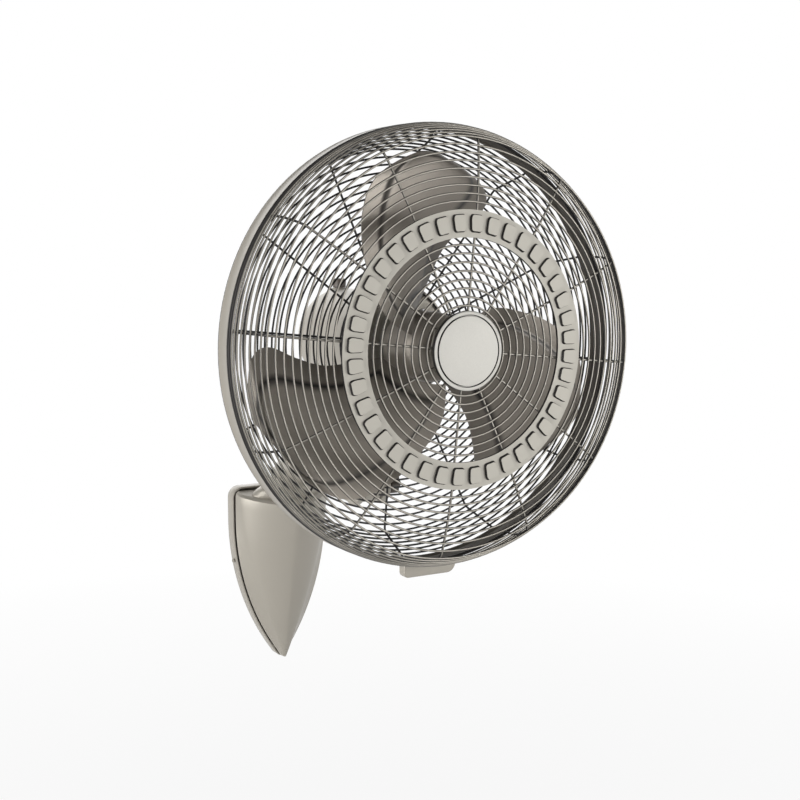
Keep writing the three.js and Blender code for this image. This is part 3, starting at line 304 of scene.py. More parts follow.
def arc_from(bm, start, centre, angle, steps):
    """Swings a vertex about a point of the X-Z plane and returns the arc's last vertex."""
    return spun(bm, [start], centre, (0, -1, 0), angle, steps)[0]


def line_from(bm, start, end):
    """Draws a straight edge from a vertex and returns its other end."""
    made = bmesh.ops.extrude_vert_indiv(bm, verts=[start])["verts"][0]
    made.co = end
    return made


def bare_edges(bm, y):
    """The edges without a face that lie at one depth."""
    return [e for e in bm.edges if not e.link_faces and all(abs(v.co.y - y) < 1e-7 for v in e.verts)]


def shield(bm, inset, y):
    """Half an outline from tip to crown, mirrored to a whole one, then filled. Returns the face."""
    flank = PLATE_FLANK - inset
    tip = max(PLATE_TIP - inset, 0.002)
    corner = max(PLATE_CORNER - inset, 0.002)
    centre = PLATE_HALF - PLATE_FLANK
    tip_z = PLATE_SIDE_FOOT - sqrt((flank - tip) ** 2 - centre ** 2)
    lean = atan2(tip_z - PLATE_SIDE_FOOT, -centre)
    at = bm.verts.new((0, y, tip_z - tip))
    first = at
    at = arc_from(bm, at, (0, y, tip_z), pi / 2 + lean, 5)
    at = arc_from(bm, at, (centre, y, PLATE_SIDE_FOOT), -lean, 24)
    side = PLATE_HALF - inset
    crown = PLATE_CROWN - inset
    at = line_from(bm, at, (side, y, crown - corner))
    at = arc_from(bm, at, (side - corner, y, crown - corner), pi / 2, 8)
    line_from(bm, at, (0, y, crown))
    half = bare_edges(bm, y)
    both = half + list({v for e in half for v in e.verts})
    bmesh.ops.mirror(bm, geom=both, matrix=Matrix(), merge_dist=1e-6, axis="X")
    rim = bare_edges(bm, y)
    bmesh.ops.remove_doubles(bm, verts=list({v for e in rim for v in e.verts}), dist=1e-6)
    return bmesh.ops.contextual_create(bm, geom=bare_edges(bm, y))["faces"][0]


def only(kind, geom):
    """The vertices, edges or faces among all that an operator made."""
    return [part for part in geom if isinstance(part, kind)]


def pushed(bm, faces, by):
    """Extrudes faces along a vector and returns the new faces."""
    made = bmesh.ops.extrude_face_region(bm, geom=faces)["geom"]
    bmesh.ops.translate(bm, vec=by, verts=only(bmesh.types.BMVert, made))
    return only(bmesh.types.BMFace, made)


def carved(piece, *cutters):
    """Cuts other meshes out of a piece, and removes them."""
    for cutter in cutters:
        tool = piece.modifiers.new("cut", "BOOLEAN")
        tool.operation = "DIFFERENCE"
        tool.solver = "EXACT"
        tool.object = cutter
    seen_mesh = piece.evaluated_get(bpy.context.evaluated_depsgraph_get())
    cut_mesh = bpy.data.meshes.new_from_object(seen_mesh)
    piece.modifiers.clear()
    piece.data = cut_mesh
    for cutter in cutters:
        bpy.data.objects.remove(cutter)
    return piece


def tool_block(low, high):
    """A box for cutting, from its low corner to its high corner."""
    bm = bmesh.new()
    bmesh.ops.create_cube(bm, size=1)
    low, high = Vector(low), Vector(high)
    bmesh.ops.scale(bm, vec=high - low, verts=bm.verts)
    bmesh.ops.translate(bm, vec=(high + low) / 2, verts=bm.verts)
    return tool_from(bm)


def tool_from(bm):
    mesh = bpy.data.meshes.new("cutter")
    bm.to_mesh(mesh)
    bm.free()
    cutter = bpy.data.objects.new("cutter", mesh)
    scene.collection.objects.link(cutter)
    return cutter


def rod_tool(centre, direction, radius, length, sides=24):
    bm = bmesh.new()
    turn = Vector(direction).to_track_quat("Z", "Y").to_matrix().to_4x4()
    bmesh.ops.create_cone(bm, cap_ends=True, segments=sides, radius1=radius, radius2=radius, depth=length,
                          matrix=Matrix.Translation(centre) @ turn)
    return tool_from(bm)


plate = bmesh.new()
back = shield(plate, 0, 0)
front = pushed(plate, [back], (0, -PLATE_DEEP, 0))
bmesh.ops.inset_region(plate, faces=front, thickness=PLATE_SHEET, use_even_offset=True)
pushed(plate, front, (0, PLATE_DEEP - PLATE_SHEET, 0))
bmesh.ops.delete(plate, geom=front, context="FACES_ONLY")
eased(plate, 0.0006)
wall_tray = placed("wall_tray", plate, "wall_side", nickel, ["wall_plate"])
carved(
    wall_tray,
    tool_block((-ARM_WAY, -0.03, PLATE_CROWN - 0.012), (ARM_WAY, -PLATE_SHEET, PLATE_CROWN + 0.01)),
    rod_tool((0, 0, WIRE_HOLE_Z), (0, 1, 0), WIRE_HOLE_R, 0.02),
)

# ---------------------------------------------------------------------------------------------
# Wall cover: a deep keeled shell, die cast and plated like the plate, over a thin shadow gap.
# Its front folds back from a soft ridge in the middle to a crease, and a hump on top takes the arm.
# ---------------------------------------------------------------------------------------------
COVER_BACK = 0.023
COVER_MARGIN = 0.003
COVER_SHEET = 0.0025
COVER_LOW = -0.153
COVER_HIGH = 0.101
KEEL_HIGH = 0.091
KEEL_LOW = 0.034
CREASE_DEEP = 0.012
CREASE_IN = 0.44
COVER_ROUND = 0.006
TOP_FALL = 0.21
ARCH_POWER = 1.4
ARM_WALL = 0.031
ARM_BEND = 0.080
ARM_Z = 0.150
ARM_FOOT = 0.020
HUMP_FORWARD = 0.004
HUMP_SECTIONS = [(0.092, 0.056, 0.027), (0.100, 0.054, 0.0265), (0.106, 0.048, 0.026),
                 (0.111, 0.041, 0.0262), (0.117, 0.035, 0.027), (0.122, 0.032, 0.0275),
                 (0.127, 0.0305, 0.028)]


def flank_width(z, inset):
    """Half the plate's width at a height, less an inset."""
    if z >= PLATE_SIDE_FOOT:
        return PLATE_HALF - inset
    drop = z - PLATE_SIDE_FOOT
    return PLATE_HALF - PLATE_FLANK + sqrt((PLATE_FLANK - inset) ** 2 - drop ** 2)


def cover_outline(z, inset, back, points=20):
    """One level section of the cover, from the left back edge round the ridge to the right one."""
    along = (z - COVER_LOW) / (COVER_HIGH - COVER_LOW)
    keel = KEEL_LOW + (KEEL_HIGH - KEEL_LOW) * along - inset
    wide = max(flank_width(z, COVER_MARGIN + inset), 0.003)
    crease = wide * (1 - CREASE_IN * (1 - along))
    crease_y = min(COVER_BACK + CREASE_DEEP, keel - 0.001)
    fall = TOP_FALL * max(0.0, along * 2 - 1)
    line = [(-wide, back)]
    for step in range(points + 1):
        turn = pi * (1 - step / points)
        power = 2 / ARCH_POWER
        across = abs(cos(turn)) ** power * (1 if cos(turn) > 0 else -1)
        line.append((crease * across, crease_y + (keel - crease_y) * abs(sin(turn)) ** power))
    line.append((wide, back))
    return [(x, -deep, z - fall * (deep - back)) for x, deep in line]


def ring_of(bm, points):
    """A closed loop of edges through some points."""
    corners = [bm.verts.new(p) for p in points]
    return [bm.edges.new((corners[i - 1], corners[i])) for i in range(len(corners))]


def lofted(sections):
    """Bridges closed sections one after another and fills both ends."""
    bm = bmesh.new()
    loops = [ring_of(bm, section) for section in sections]
    for lower, upper in zip(loops, loops[1:]):
        bmesh.ops.bridge_loops(bm, edges=lower + upper)
    for end in (loops[0], loops[-1]):
        bmesh.ops.contextual_create(bm, geom=end)
    return bm


def cover_shell(inset, back, rows):
    """The cover from tip to top, with its upper edge rounded in two steps."""
    low = COVER_LOW + 2 * inset
    high = COVER_HIGH - inset
    shoulder = high - COVER_ROUND
    sections = [cover_outline(low + (shoulder - low) * i / rows, inset, back) for i in range(rows + 1)]
    top = cover_outline(high, inset, back)
    sections.append([(x * 0.985, y, z) for x, y, z in top])
    sections.append([(x * 0.94, y + (0.003 if -y > back + 0.004 else 0), z + 0.003) for x, y, z in top])
    return lofted(sections)


def hump():
    """The collar on the cover's top, leaning forward with the arm."""
    sections = []
    for z, wide, deep in HUMP_SECTIONS:
        rise = min(max((z - ARM_Z + ARM_BEND) / ARM_BEND, 0), 1)
        middle = -ARM_WALL - ARM_BEND * (1 - sqrt(1 - rise ** 2)) - HUMP_FORWARD
        angles = [2 * pi * i / 48 for i in range(48)]
        sections.append([(wide * cos(a), middle + deep * sin(a), z) for a in angles])
    return lofted(sections)


def follow(bm, path, radius, sides):
    """Draws a round bar along a path by extruding its section from point to point."""
    points = [Vector(p) for p in path]
    runs = [(b - a).normalized() for a, b in zip(points, points[1:])]
    ways = [runs[0]] + [(a + b).normalized() for a, b in zip(runs, runs[1:])] + [runs[-1]]
    start = Matrix.Translation(points[0]) @ ways[0].to_track_quat("Z", "Y").to_matrix().to_4x4()
    bmesh.ops.create_circle(bm, cap_ends=True, radius=radius, segments=sides, matrix=start)
    bm.edges.ensure_lookup_table()
    ring = list(bm.edges)[-sides:]
    for before, here, way, to in zip(points, points[1:], ways, ways[1:]):
        made = bmesh.ops.extrude_edge_only(bm, edges=ring)["geom"]
        swing = way.rotation_difference(to).to_matrix().to_4x4()
        step = Matrix.Translation(here) @ swing @ Matrix.Translation(-before)
        bmesh.ops.transform(bm, matrix=step, verts=only(bmesh.types.BMVert, made))
        ring = only(bmesh.types.BMEdge, made)
    bmesh.ops.contextual_create(bm, geom=ring)


def arm_line(end_y, steps=18):
    """The arm's centre line: up the wall, round a quarter circle and forward."""
    line = [(0, -ARM_WALL, ARM_FOOT)]
    for i in range(steps + 1):
        lean = (pi / 2) * i / steps
        line.append((0, -ARM_WALL - ARM_BEND * (1 - cos(lean)), ARM_Z - ARM_BEND * (1 - sin(lean))))
    line.append((0, end_y, ARM_Z))
    return line


cover = placed("wall_cover_shell", cover_shell(0, COVER_BACK, 22), "wall_side", nickel,
               ["wall_cover"], bend=28)
collar = tool_from(hump())
join = cover.modifiers.new("hump", "BOOLEAN")
join.operation = "UNION"
join.solver = "EXACT"
join.object = collar
arm_space = bmesh.new()
follow(arm_space, arm_line(-0.2), ARM_R + 0.0008, 40)
carved(
    cover,
    tool_from(cover_shell(COVER_SHEET, COVER_BACK - 0.006, 12)),
    tool_from(arm_space),
    tool_block((-ARM_WAY, -0.034, 0.079), (ARM_WAY, 0.02, 0.139)),
)
bpy.data.objects.remove(collar)

# ---------------------------------------------------------------------------------------------
# Cover screws: two small pan heads plated like the cover, one on each side of the wall box.
# They pass through the plate's rim into lugs of the cover, and each has a cross for a driver.
# ---------------------------------------------------------------------------------------------
SCREW_Z = -0.002
SCREW_Y = -0.010
SCREW_PROUD = 0.0012
CROSS_DEEP = 0.0012
CROSS_LONG = 0.0019
CROSS_WIDE = 0.0004


def turned(bm, profile, steps, centre=(0, 0, 0), axis=(0, 1, 0)):
    """Spins a profile of (radius, place along the axis) once round an axis."""
    along = Vector(axis)
    turn = Vector((0, 1, 0)).rotation_difference(along).to_matrix().to_4x4()
    move = Matrix.Translation(centre) @ turn
    corners = [bm.verts.new(move @ Vector((r, s, 0))) for r, s in profile]
    edges = [bm.edges.new(pair) for pair in zip(corners, corners[1:])]
    spun(bm, corners + edges, centre, along, 2 * pi, steps, closed=True)
    bmesh.ops.remove_doubles(bm, verts=bm.verts, dist=1e-6)


for side, label in ((-1, "left"), (1, "right")):
    out = flank_width(SCREW_Z, 0) + SCREW_PROUD
    head = bmesh.new()
    turned(head, [(0, -0.011), (0.0015, -0.011), (0.0015, 0), (0.0032, 0), (0.0032, 0.0008),
                  (0.0026, 0.0018), (0.0014, 0.0021), (0, 0.0021)],
           32, (side * out, SCREW_Y, SCREW_Z), (side, 0, 0))
    screw = placed("side_screw_" + label, head, "wall_side", nickel, ["cover_screw_" + label])
    middle = Vector((side * (out + 0.0018), SCREW_Y, SCREW_Z))
    slots = [Vector((CROSS_DEEP, CROSS_LONG, CROSS_WIDE)), Vector((CROSS_DEEP, CROSS_WIDE, CROSS_LONG))]
    carved(screw, *[tool_block(middle - reach, middle + reach) for reach in slots])

# ---------------------------------------------------------------------------------------------
# Inside the wall box: terminal block, speed control, wall screws and the arm's bolts.
# They are off the shelf parts that the cover hides, so they keep their plain forms.
# ---------------------------------------------------------------------------------------------


def bare_metal(name, dark, light, metal, rough, spread, depth, scale, **pattern):
    """Metal whose grain moves its tone, its shine and its surface."""
    finish = Finish(name)
    grain = finish.noise(scale, **pattern)
    return finish.surface({"Base Color": finish.blend(grain, dark, light), "Metallic": metal,
                           "Roughness": rough + grain * spread}, bump=grain, depth=depth)


def moulded(name, colour, rough=0.5):
    """Moulded plastic with a fine spark texture."""
    finish = Finish(name)
    pits = finish.noise(1800.0, detail=2.0)
    cloud = finish.noise(14.0)
    tone = finish.blend(cloud, tuple(c * 0.9 for c in colour), colour)
    return finish.surface({"Base Color": tone, "Roughness": rough - 0.05 + pits * 0.1},
                          bump=pits, depth=0.00006)


def dressed(finish, *nodes):
    """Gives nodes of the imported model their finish."""
    for node in nodes:
        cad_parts[node].data.materials.clear()
        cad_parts[node].data.materials.append(finish)


steel = bare_metal("steel_zinc", (0.4264, 0.4264, 0.4368), (0.52, 0.52, 0.5304),
                   0.95, 0.28, 0.2, 0.00003, 1500.0, detail=4.0)
black = moulded("plastic_black", (0.02, 0.02, 0.022))
pale = moulded("plastic_pale", (0.7, 0.69, 0.66))
dressed(steel, "wall_screw_1", "wall_screw_2", "arm_bolt_1", "arm_bolt_2", "arm_bolt_3", "arm_bolt_4")
dressed(pale, "terminal_block")
dressed(black, "speed_control")

# ---------------------------------------------------------------------------------------------
# Arm: a cast tube that rises out of the box, turns forward in a quarter circle and ends in a fork.
# Its foot plate is bolted to the wall plate, and the two ears of the fork hold the tilting neck.
# ---------------------------------------------------------------------------------------------
KNUCKLE_Y = -0.294
EAR_R = 0.025
EAR_IN = 0.014
EAR_OUT = 0.023
FORK_ROOT = 0.042
EAR_HALF = 0.0195
EAR_SET = 0.006
EAR_FORE = 0.012
FOOT_Z = 0.053


def added(bm, part, *places):
    """Copies a smaller mesh into a larger one, once for each place."""
    loose = bpy.data.meshes.new("loose")
    for place in places or [Matrix()]:
        copy = part.copy()
        bmesh.ops.transform(copy, matrix=place, verts=copy.verts)
        copy.to_mesh(loose)
        copy.free()
        bm.from_mesh(loose)
    part.free()
    bpy.data.meshes.remove(loose)


arm = bmesh.new()
follow(arm, arm_line(KNUCKLE_Y + FORK_ROOT), ARM_R, 64)
eased(arm, 0.0012, bend=60)
for side in (-1, 1):
    ear = bmesh.new()
    x = side * EAR_IN
    start = ear.verts.new((x, KNUCKLE_Y + FORK_ROOT + EAR_SET, ARM_Z - EAR_HALF))
    top = ear.verts.new((x, KNUCKLE_Y + FORK_ROOT + EAR_SET, ARM_Z + EAR_HALF))
    fore_rise = sqrt(EAR_R ** 2 - EAR_FORE ** 2)
    fore = ear.verts.new((x, KNUCKLE_Y + EAR_FORE, ARM_Z + fore_rise))
    ear.edges.new((top, fore))
    sweep = 2 * pi - 2 * asin(fore_rise / EAR_R)
    spun(ear, [fore], (x, KNUCKLE_Y, ARM_Z), (1, 0, 0), sweep, 40)
    ear.verts.ensure_lookup_table()
    last = min((v for v in ear.verts if len(v.link_edges) == 1 and v is not top and v is not start),
               key=lambda v: v.co.z)
    ear.edges.new((last, start))
    ear.edges.new((start, top))
    face = bmesh.ops.contextual_create(ear, geom=list(ear.edges))["faces"]
    pushed(ear, face, (side * (EAR_OUT - EAR_IN), 0, 0))
    eased(ear, 0.0016, bend=50, segments=3)
    added(arm, ear)
for y, wide, deep in ((-0.0058, 0.076, 0.006), (-0.018, 0.030, 0.024)):
    foot = Matrix.Translation((0, y, FOOT_Z)) @ Matrix.Diagonal((wide, deep, 0.066, 1))
    bmesh.ops.create_cube(arm, size=1, matrix=foot)
placed("arm_casting", arm, "wall_side", nickel, ["arm"], flats=True)

# ---------------------------------------------------------------------------------------------
# Tilt joint: a bolt through the fork, two friction washers and a lobed hand nut on the right.
# The washers are hard black fibre, the bolt is zinc plated and the nut is brown plastic.
# ---------------------------------------------------------------------------------------------
brown = moulded("plastic_brown", (0.085, 0.066, 0.052), 0.42)
dressed(black, "friction_washer_left", "friction_washer_right")
dressed(steel, "tilt_bolt")

KNOB_R = 0.015
LOBES = 6
KNOB_IN = 0.0236
knob = bmesh.new()
bmesh.ops.create_circle(knob, cap_ends=True, radius=KNOB_R, segments=LOBES * 12,
                        matrix=Matrix.Rotation(pi / 2, 4, "Y"))
for v in knob.verts:
    turn = atan2(v.co.z, v.co.y)
    v.co *= 1 - 0.09 * (1 - cos(LOBES * turn))
pushed(knob, list(knob.faces), (0.014, 0, 0))
eased(knob, 0.0014, bend=50, segments=4)
bmesh.ops.translate(knob, vec=(KNOB_IN + 0.006, KNUCKLE_Y, ARM_Z), verts=knob.verts)
turned(knob, [(0.0053, 0), (0.010, 0), (0.012, 0.0065), (0.0053, 0.0065), (0.0053, 0)], 48,
       (KNOB_IN, KNUCKLE_Y, ARM_Z), (1, 0, 0))
placed("tilt_hand_nut", knob, "tilt_lock", brown, ["tilt_knob"])

# ---------------------------------------------------------------------------------------------
# Neck: a cast tongue between the ears, a round post and the flange that the head turns on.
# A bronze bush and a black washer take the head's pivot.
# ---------------------------------------------------------------------------------------------
TONGUE_HALF = 0.0122
KNUCKLE = (0, KNUCKLE_Y, ARM_Z)
neck = bmesh.new()
turned(neck, [(0.0053, -TONGUE_HALF), (0.0205, -TONGUE_HALF), (0.022, -TONGUE_HALF + 0.0015),
              (0.022, TONGUE_HALF - 0.0015), (0.0205, TONGUE_HALF), (0.0053, TONGUE_HALF),
              (0.0053, -TONGUE_HALF)], 64, KNUCKLE, (1, 0, 0))
turned(neck, [(0, 0.010), (0.0118, 0.010), (0.0120, 0.028), (0.0145, 0.036), (0.0165, 0.043),
              (0.017, 0.050), (0.017, 0.088), (0.0185, 0.092), (0.0232, 0.0945), (0.024, 0.0955),
              (0.024, 0.0993), (0.0233, 0.1), (0.0108, 0.1), (0.0108, 0.055), (0, 0.055)],
       64, KNUCKLE, (0, 0, 1))
placed("neck_casting", neck, "tilt_neck", nickel, ["neck"])

bronze = bare_metal("bronze", (0.30, 0.19, 0.08), (0.42, 0.28, 0.13), 0.9, 0.35, 0.2, 0.00005, 900.0)
dressed(bronze, "pivot_bush")
dressed(black, "thrust_washer")
dressed(steel, "pivot_pin")

# ---------------------------------------------------------------------------------------------
# Motor housing: a deep drawn cup with a rounded back, plated like the arm.
# The front bell closes it. A boss under it turns on the neck, and the swing knob stands on a small
# seat on top.
# ---------------------------------------------------------------------------------------------
AXIS_Z = 0.340
RIM_Y = -0.459
MOTOR_R = 0.064
HUB_LINE = (0, RIM_Y, AXIS_Z)
SWING_SEAT = (0, -0.219, 0)

motor = bmesh.new()
back_round = [(MOTOR_R * cos(t), 0.228 + 0.042 * sin(t)) for t in (radians(9 * k) for k in range(11))]
turned(motor, [(0.061, 0.0985), (0.0632, 0.098), (MOTOR_R, 0.0988)] + back_round[:-1] + [(0, 0.270)],
       96, HUB_LINE)
turned(motor, [(0.008, 0.2526), (0.0232, 0.2526), (0.024, 0.2534), (0.024, 0.262), (0.0255, 0.270),
               (0.030, 0.2795), (0.030, 0.2850), (0.008, 0.2850), (0.008, 0.2526)],
       64, (0, KNUCKLE_Y, 0), (0, 0, 1))
turned(motor, [(0.005, 0.390), (0.011, 0.390), (0.0105, 0.4035), (0.0097, 0.4045), (0.005, 0.4045),
               (0.005, 0.390)], 48, SWING_SEAT, (0, 0, 1))
placed("motor_cup", motor, "fan_head", nickel, ["motor_housing"], bend=40)

bell = bmesh.new()
turned(bell, [(0.0058, 0.0917), (0.0625, 0.0917), (0.064, 0.0930), (0.064, 0.0967), (0.0632, 0.0977),
              (0.0607, 0.0977), (0.0607, 0.1037), (0.017, 0.1097), (0.0133, 0.1097),
              (0.0133, 0.1004), (0.0058, 0.1004), (0.0058, 0.0917)], 96, HUB_LINE)
cast = bare_metal("aluminium_cast", (0.38, 0.375, 0.36), (0.48, 0.475, 0.46),
                  0.85, 0.42, 0.16, 0.0001, 420.0, detail=4.0)
placed("motor_front_bell", bell, "fan_head", cast, ["front_bell"])
dressed(cast, "gear_case")

swing = bmesh.new()
turned(swing, [(0, 0.386), (0.0047, 0.386), (0.0047, 0.4048), (0.0080, 0.4048), (0.0086, 0.4054),
               (0.0090, 0.4146), (0.0084, 0.4160), (0.0060, 0.4168), (0, 0.4170)],
       48, SWING_SEAT, (0, 0, 1))
placed("swing_pull_knob", swing, "swing_selector", brown, ["swing_knob"])

# ---------------------------------------------------------------------------------------------
# Inside the motor: laminated stator, enamelled windings, ball bearings and the rotor's core.
# The cup closes over all of them.
# ---------------------------------------------------------------------------------------------
laminated = bare_metal("steel_laminated", (0.05, 0.05, 0.055), (0.10, 0.10, 0.105),
                       0.8, 0.4, 0.2, 0.0001, 60.0, stretch=(0.05, 40, 0.05))
copper = bare_metal("copper_enamelled", (0.33, 0.11, 0.04), (0.52, 0.2, 0.08),
                    0.7, 0.32, 0.15, 0.0004, 80.0, stretch=(1, 14, 1))
dressed(laminated, "stator_core", "rotor_core")
dressed(copper, "front_winding", "rear_winding")
dressed(steel, "front_bearing", "rear_bearing", "shaft")

# ---------------------------------------------------------------------------------------------
# Rotor: a round hub on the motor's shaft, held by a plastic nut, with three wide blades.
# Each blade is pressed from sheet, cupped and twisted, with a raised panel for stiffness. Shade is painted
# dark along the panel's step, and outside the panel on the rear half, darker towards the root.
# ---------------------------------------------------------------------------------------------
# The blades' step mark paints shade onto this satin.
blade_metal = satin_nickel("blade_satin", (0.25, 0.226, 0.195), rough=0.38, metal=0.55, drift=0.06,
                           shaded="step")
HUB_FRONT = -0.022
HUB_REAR = 0.046
hub = bmesh.new()
turned(hub, [(0.0053, HUB_FRONT), (0.013, HUB_FRONT), (0.020, HUB_FRONT + 0.0012),
             (0.030, HUB_FRONT + 0.0055), (0.0375, HUB_FRONT + 0.012), (0.041, HUB_FRONT + 0.018),
             (0.042, HUB_FRONT + 0.025), (0.042, HUB_REAR - 0.001), (0.0412, HUB_REAR), (0.0385, HUB_REAR),
             (0.036, HUB_FRONT + 0.026), (0.014, HUB_FRONT + 0.020), (0.014, HUB_REAR - 0.010),
             (0.0053, HUB_REAR - 0.010), (0.0053, HUB_FRONT)], 72, HUB_LINE)
placed("blade_hub", hub, "rotor", blade_metal, ["hub"])
nut = bmesh.new()
turned(nut, [(r, HUB_FRONT - ahead) for r, ahead in (
    (0, 0.012), (0.006, 0.0118), (0.009, 0.0108), (0.0122, 0.008), (0.013, 0.0065), (0.013, 0.0003),
    (0.0053, 0.0003), (0.0053, 0.009), (0, 0.009))], 48, HUB_LINE)
placed("blade_nut", nut, "rotor", black, ["hub_nut"])

FRONT_EDGE = [(43, 38), (80, 32.7), (120, 19.5), (155, 10.5), (185, 2.5), (210, -7), (226, -24)]
REAR_EDGE = [(43, -41), (80, -46.5), (120, -50), (155, -56), (190, -61), (213, -57), (226, -40)]
BLADE_SHEET = 0.0016
BLADE_FRONT_Y = -16
BLADE_DEEP = 64
BLADE_CUP = 9
BLADE_TIP = 228
BLADE_WASH = 0.35
PANEL_RISE = 0.0026


def along_edge(points, share):
    """A smooth curve through an edge's points, each a radius in millimetres and an angle in degrees."""
    last = len(points) - 1
    i = min(int(share * last), last - 1)
    t = share * last - i
    a, b, c, d = (points[min(max(i + k, 0), last)] for k in (-1, 0, 1, 2))
    return [0.5 * (2 * q + (r - p) * t + (2 * p - 5 * q + 4 * r - s) * t ** 2
                   + (3 * q - p - 3 * r + s) * t ** 3)
            for p, q, r, s in zip(a, b, c, d)]


def blade_point(out, across):
    """Where the blade's sheet is, from root to tip and from front edge to rear edge."""
    front_r, front_a = along_edge(FRONT_EDGE, out)
    rear_r, rear_a = along_edge(REAR_EDGE, out)
    r = front_r + (rear_r - front_r) * across
    turn = radians(front_a + (rear_a - front_a) * across)
    wash = 1 - BLADE_WASH * (r / BLADE_TIP - 0.5)
    cup = BLADE_CUP * 4 * across * (1 - across)
    y = BLADE_FRONT_Y + BLADE_DEEP * (0.5 + (across - 0.5) * wash) - cup
    return Vector((r * cos(turn), y, r * sin(turn))) / 1000


def into_panel(out, across):
    """How far inside the raised panel a place is: below nought outside it and nought on its edge."""
    return min((across - 0.17) / 0.17, (0.83 - across) / 0.17, (0.93 - out) / 0.10, (out - 0.10) / 0.14)


for number in (1, 2, 3):
    blade = bmesh.new()
    bmesh.ops.create_grid(blade, x_segments=72, y_segments=60, size=0.5)
    step = blade.verts.layers.float.new("step")
    for v in blade.verts:
        out, across = v.co.x + 0.5, v.co.y + 0.5
        panel = into_panel(out, across)
        rise = min(max(panel * 5 + 0.5, 0), 1)
        # Painted shade: outside the panel on the rear half it darkens towards the root, and it runs dark
        # along the step.
        rear_shade = 0.35 - 0.3 * out if panel < 0 and across > 0.5 else 0
        v[step] = 0.92 * max(0, 1 - abs(panel * 4.5)) + rear_shade
        v.co = blade_point(out, across) - Vector((0, PANEL_RISE * rise, 0))
    turn = Matrix.Rotation(-2 * pi * number / 3, 4, "Y")
    bmesh.ops.transform(blade, matrix=Matrix.Translation(HUB_LINE) @ turn, verts=blade.verts)
    sheet = placed("blade_sheet_%d" % number, blade, "rotor", blade_metal,
                   ["blade_%d" % number], bend=60)
    thick = sheet.modifiers.new("sheet", "SOLIDIFY")
    thick.thickness = BLADE_SHEET
    thick.offset = 0

# ---------------------------------------------------------------------------------------------
# Cage band: a strip of sheet rolled into a hoop, with both rims turned in over the two grilles.
# It is plated like the arm; its front lip is painted black and its inside darker, both as painted shade.
# ---------------------------------------------------------------------------------------------
BAND_R = 0.259
BAND_DEEP = 0.026
BAND_SKIN = 0.0020
BAND_LIP = 0.0012
band = bmesh.new()
turned(band, [(BAND_R - below, y) for below, y in (
    (0.0034, 0.0006), (0.0012, 0), (0.0003, 0.0004), (0, 0.0014), (0.0005, 0.0030),
    (0.0005, BAND_DEEP - 0.0034), (0, BAND_DEEP - 0.0020), (0.0003, BAND_DEEP - 0.0006),
    (0.0014, BAND_DEEP), (0.0045, BAND_DEEP - 0.0004), (0.0045, BAND_DEEP - 0.0014),
    (0.0023, BAND_DEEP - 0.0030), (0.0023, 0.0036), (0.0034, 0.0018), (0.0034, 0.0006))], 192, HUB_LINE)
band_metal = satin_nickel("band_satin", (0.29, 0.268, 0.23))
# Near black paint for shade along the band's front lip and on the rim wires.
black_shade_paint = satin_nickel("rim_painted_shade", DARK_PAINTED_SHADE, rough=0.5, metal=0.0)
hoop = placed("cage_hoop", band, "fan_head", band_metal, ["cage_band"], bend=50)
hoop.data.materials.append(black_shade_paint)
hoop.data.materials.append(satin_nickel("band_inside_painted_shade", (0.12, 0.108, 0.092)))
# Faces at the front lip get the black painted shade, and faces inside the hoop the darker painted shade.
for face in hoop.data.polygons:
    inside = hypot(face.center.x, face.center.z - AXIS_Z) < BAND_R - BAND_SKIN
    face.material_index = 1 if face.center.y < RIM_Y + BAND_LIP else 2 * inside

# ---------------------------------------------------------------------------------------------
# Wire grilles: rings of drawn wire welded on the outside of twelve bent spokes, front and rear.
# Wires are bare satin nickel where they face the front or the back, with painted shade in near black on
# their sides, and on the rear wires' front too; the thicker rim wires under the band are painted black as
# shade.
# ---------------------------------------------------------------------------------------------
WIRE = 0.0025
SPOKE_WIRE = 0.0028
RIM_WIRE = 0.0030
SPOKES = 12
SPOKE_TURN = radians(84.3)
CORNER_R = 0.2396
FRONT_CORNER = -0.0608
FRONT_FLAT = -0.0713
REAR_CORNER = 0.078
REAR_CORNER_R = 0.2345
REAR_FLAT = 0.084
REAR_EYE = 0.070
RIM_R = 0.2568
TRIM_OUT = 0.158
WELD_SINK = 0.94
BEND_BACK = 0.010
WIRE_NICKEL = (0.34, 0.317, 0.275)
# Sideways faces of the wires, and the rear wires' front faces, get painted shade in near black.
front_metal = satin_nickel("wire_satin", WIRE_NICKEL, rough=0.32, sides=DARK_PAINTED_SHADE)
rear_metal = satin_nickel("wire_satin_rear", WIRE_NICKEL, rough=0.32, sides=DARK_PAINTED_SHADE, rear=True)


def front_face_y(r):
    """The front face is flat as far as the trim ring and then falls away to the corner."""
    if r <= TRIM_OUT:
        return FRONT_FLAT
    return FRONT_FLAT + (FRONT_CORNER - FRONT_FLAT) * ((r - TRIM_OUT) / (CORNER_R - TRIM_OUT)) ** 1.6


def rear_face_y(r):
    """The rear face is a shallow cone."""
    return REAR_FLAT + (REAR_CORNER - REAR_FLAT) * (r - REAR_EYE) / (REAR_CORNER_R - REAR_EYE)


def side_place(corner_r, corner_y, rim_y, share):
    """A place on the side of a grille. The front side bulges and the rear side is straight."""
    bulge = 1 if corner_y < 0 else 0
    swell = bulge * sin(share * pi / 2) + (1 - bulge) * share
    r = corner_r + (RIM_R - corner_r) * swell + 0.0025 * bulge * sin(share * pi)
    return r, corner_y + (rim_y - corner_y) * share


def evenly(low, high, count):
    """Numbers from low to high in equal steps."""
    return [low + (high - low) * i / count for i in range(count + 1)]


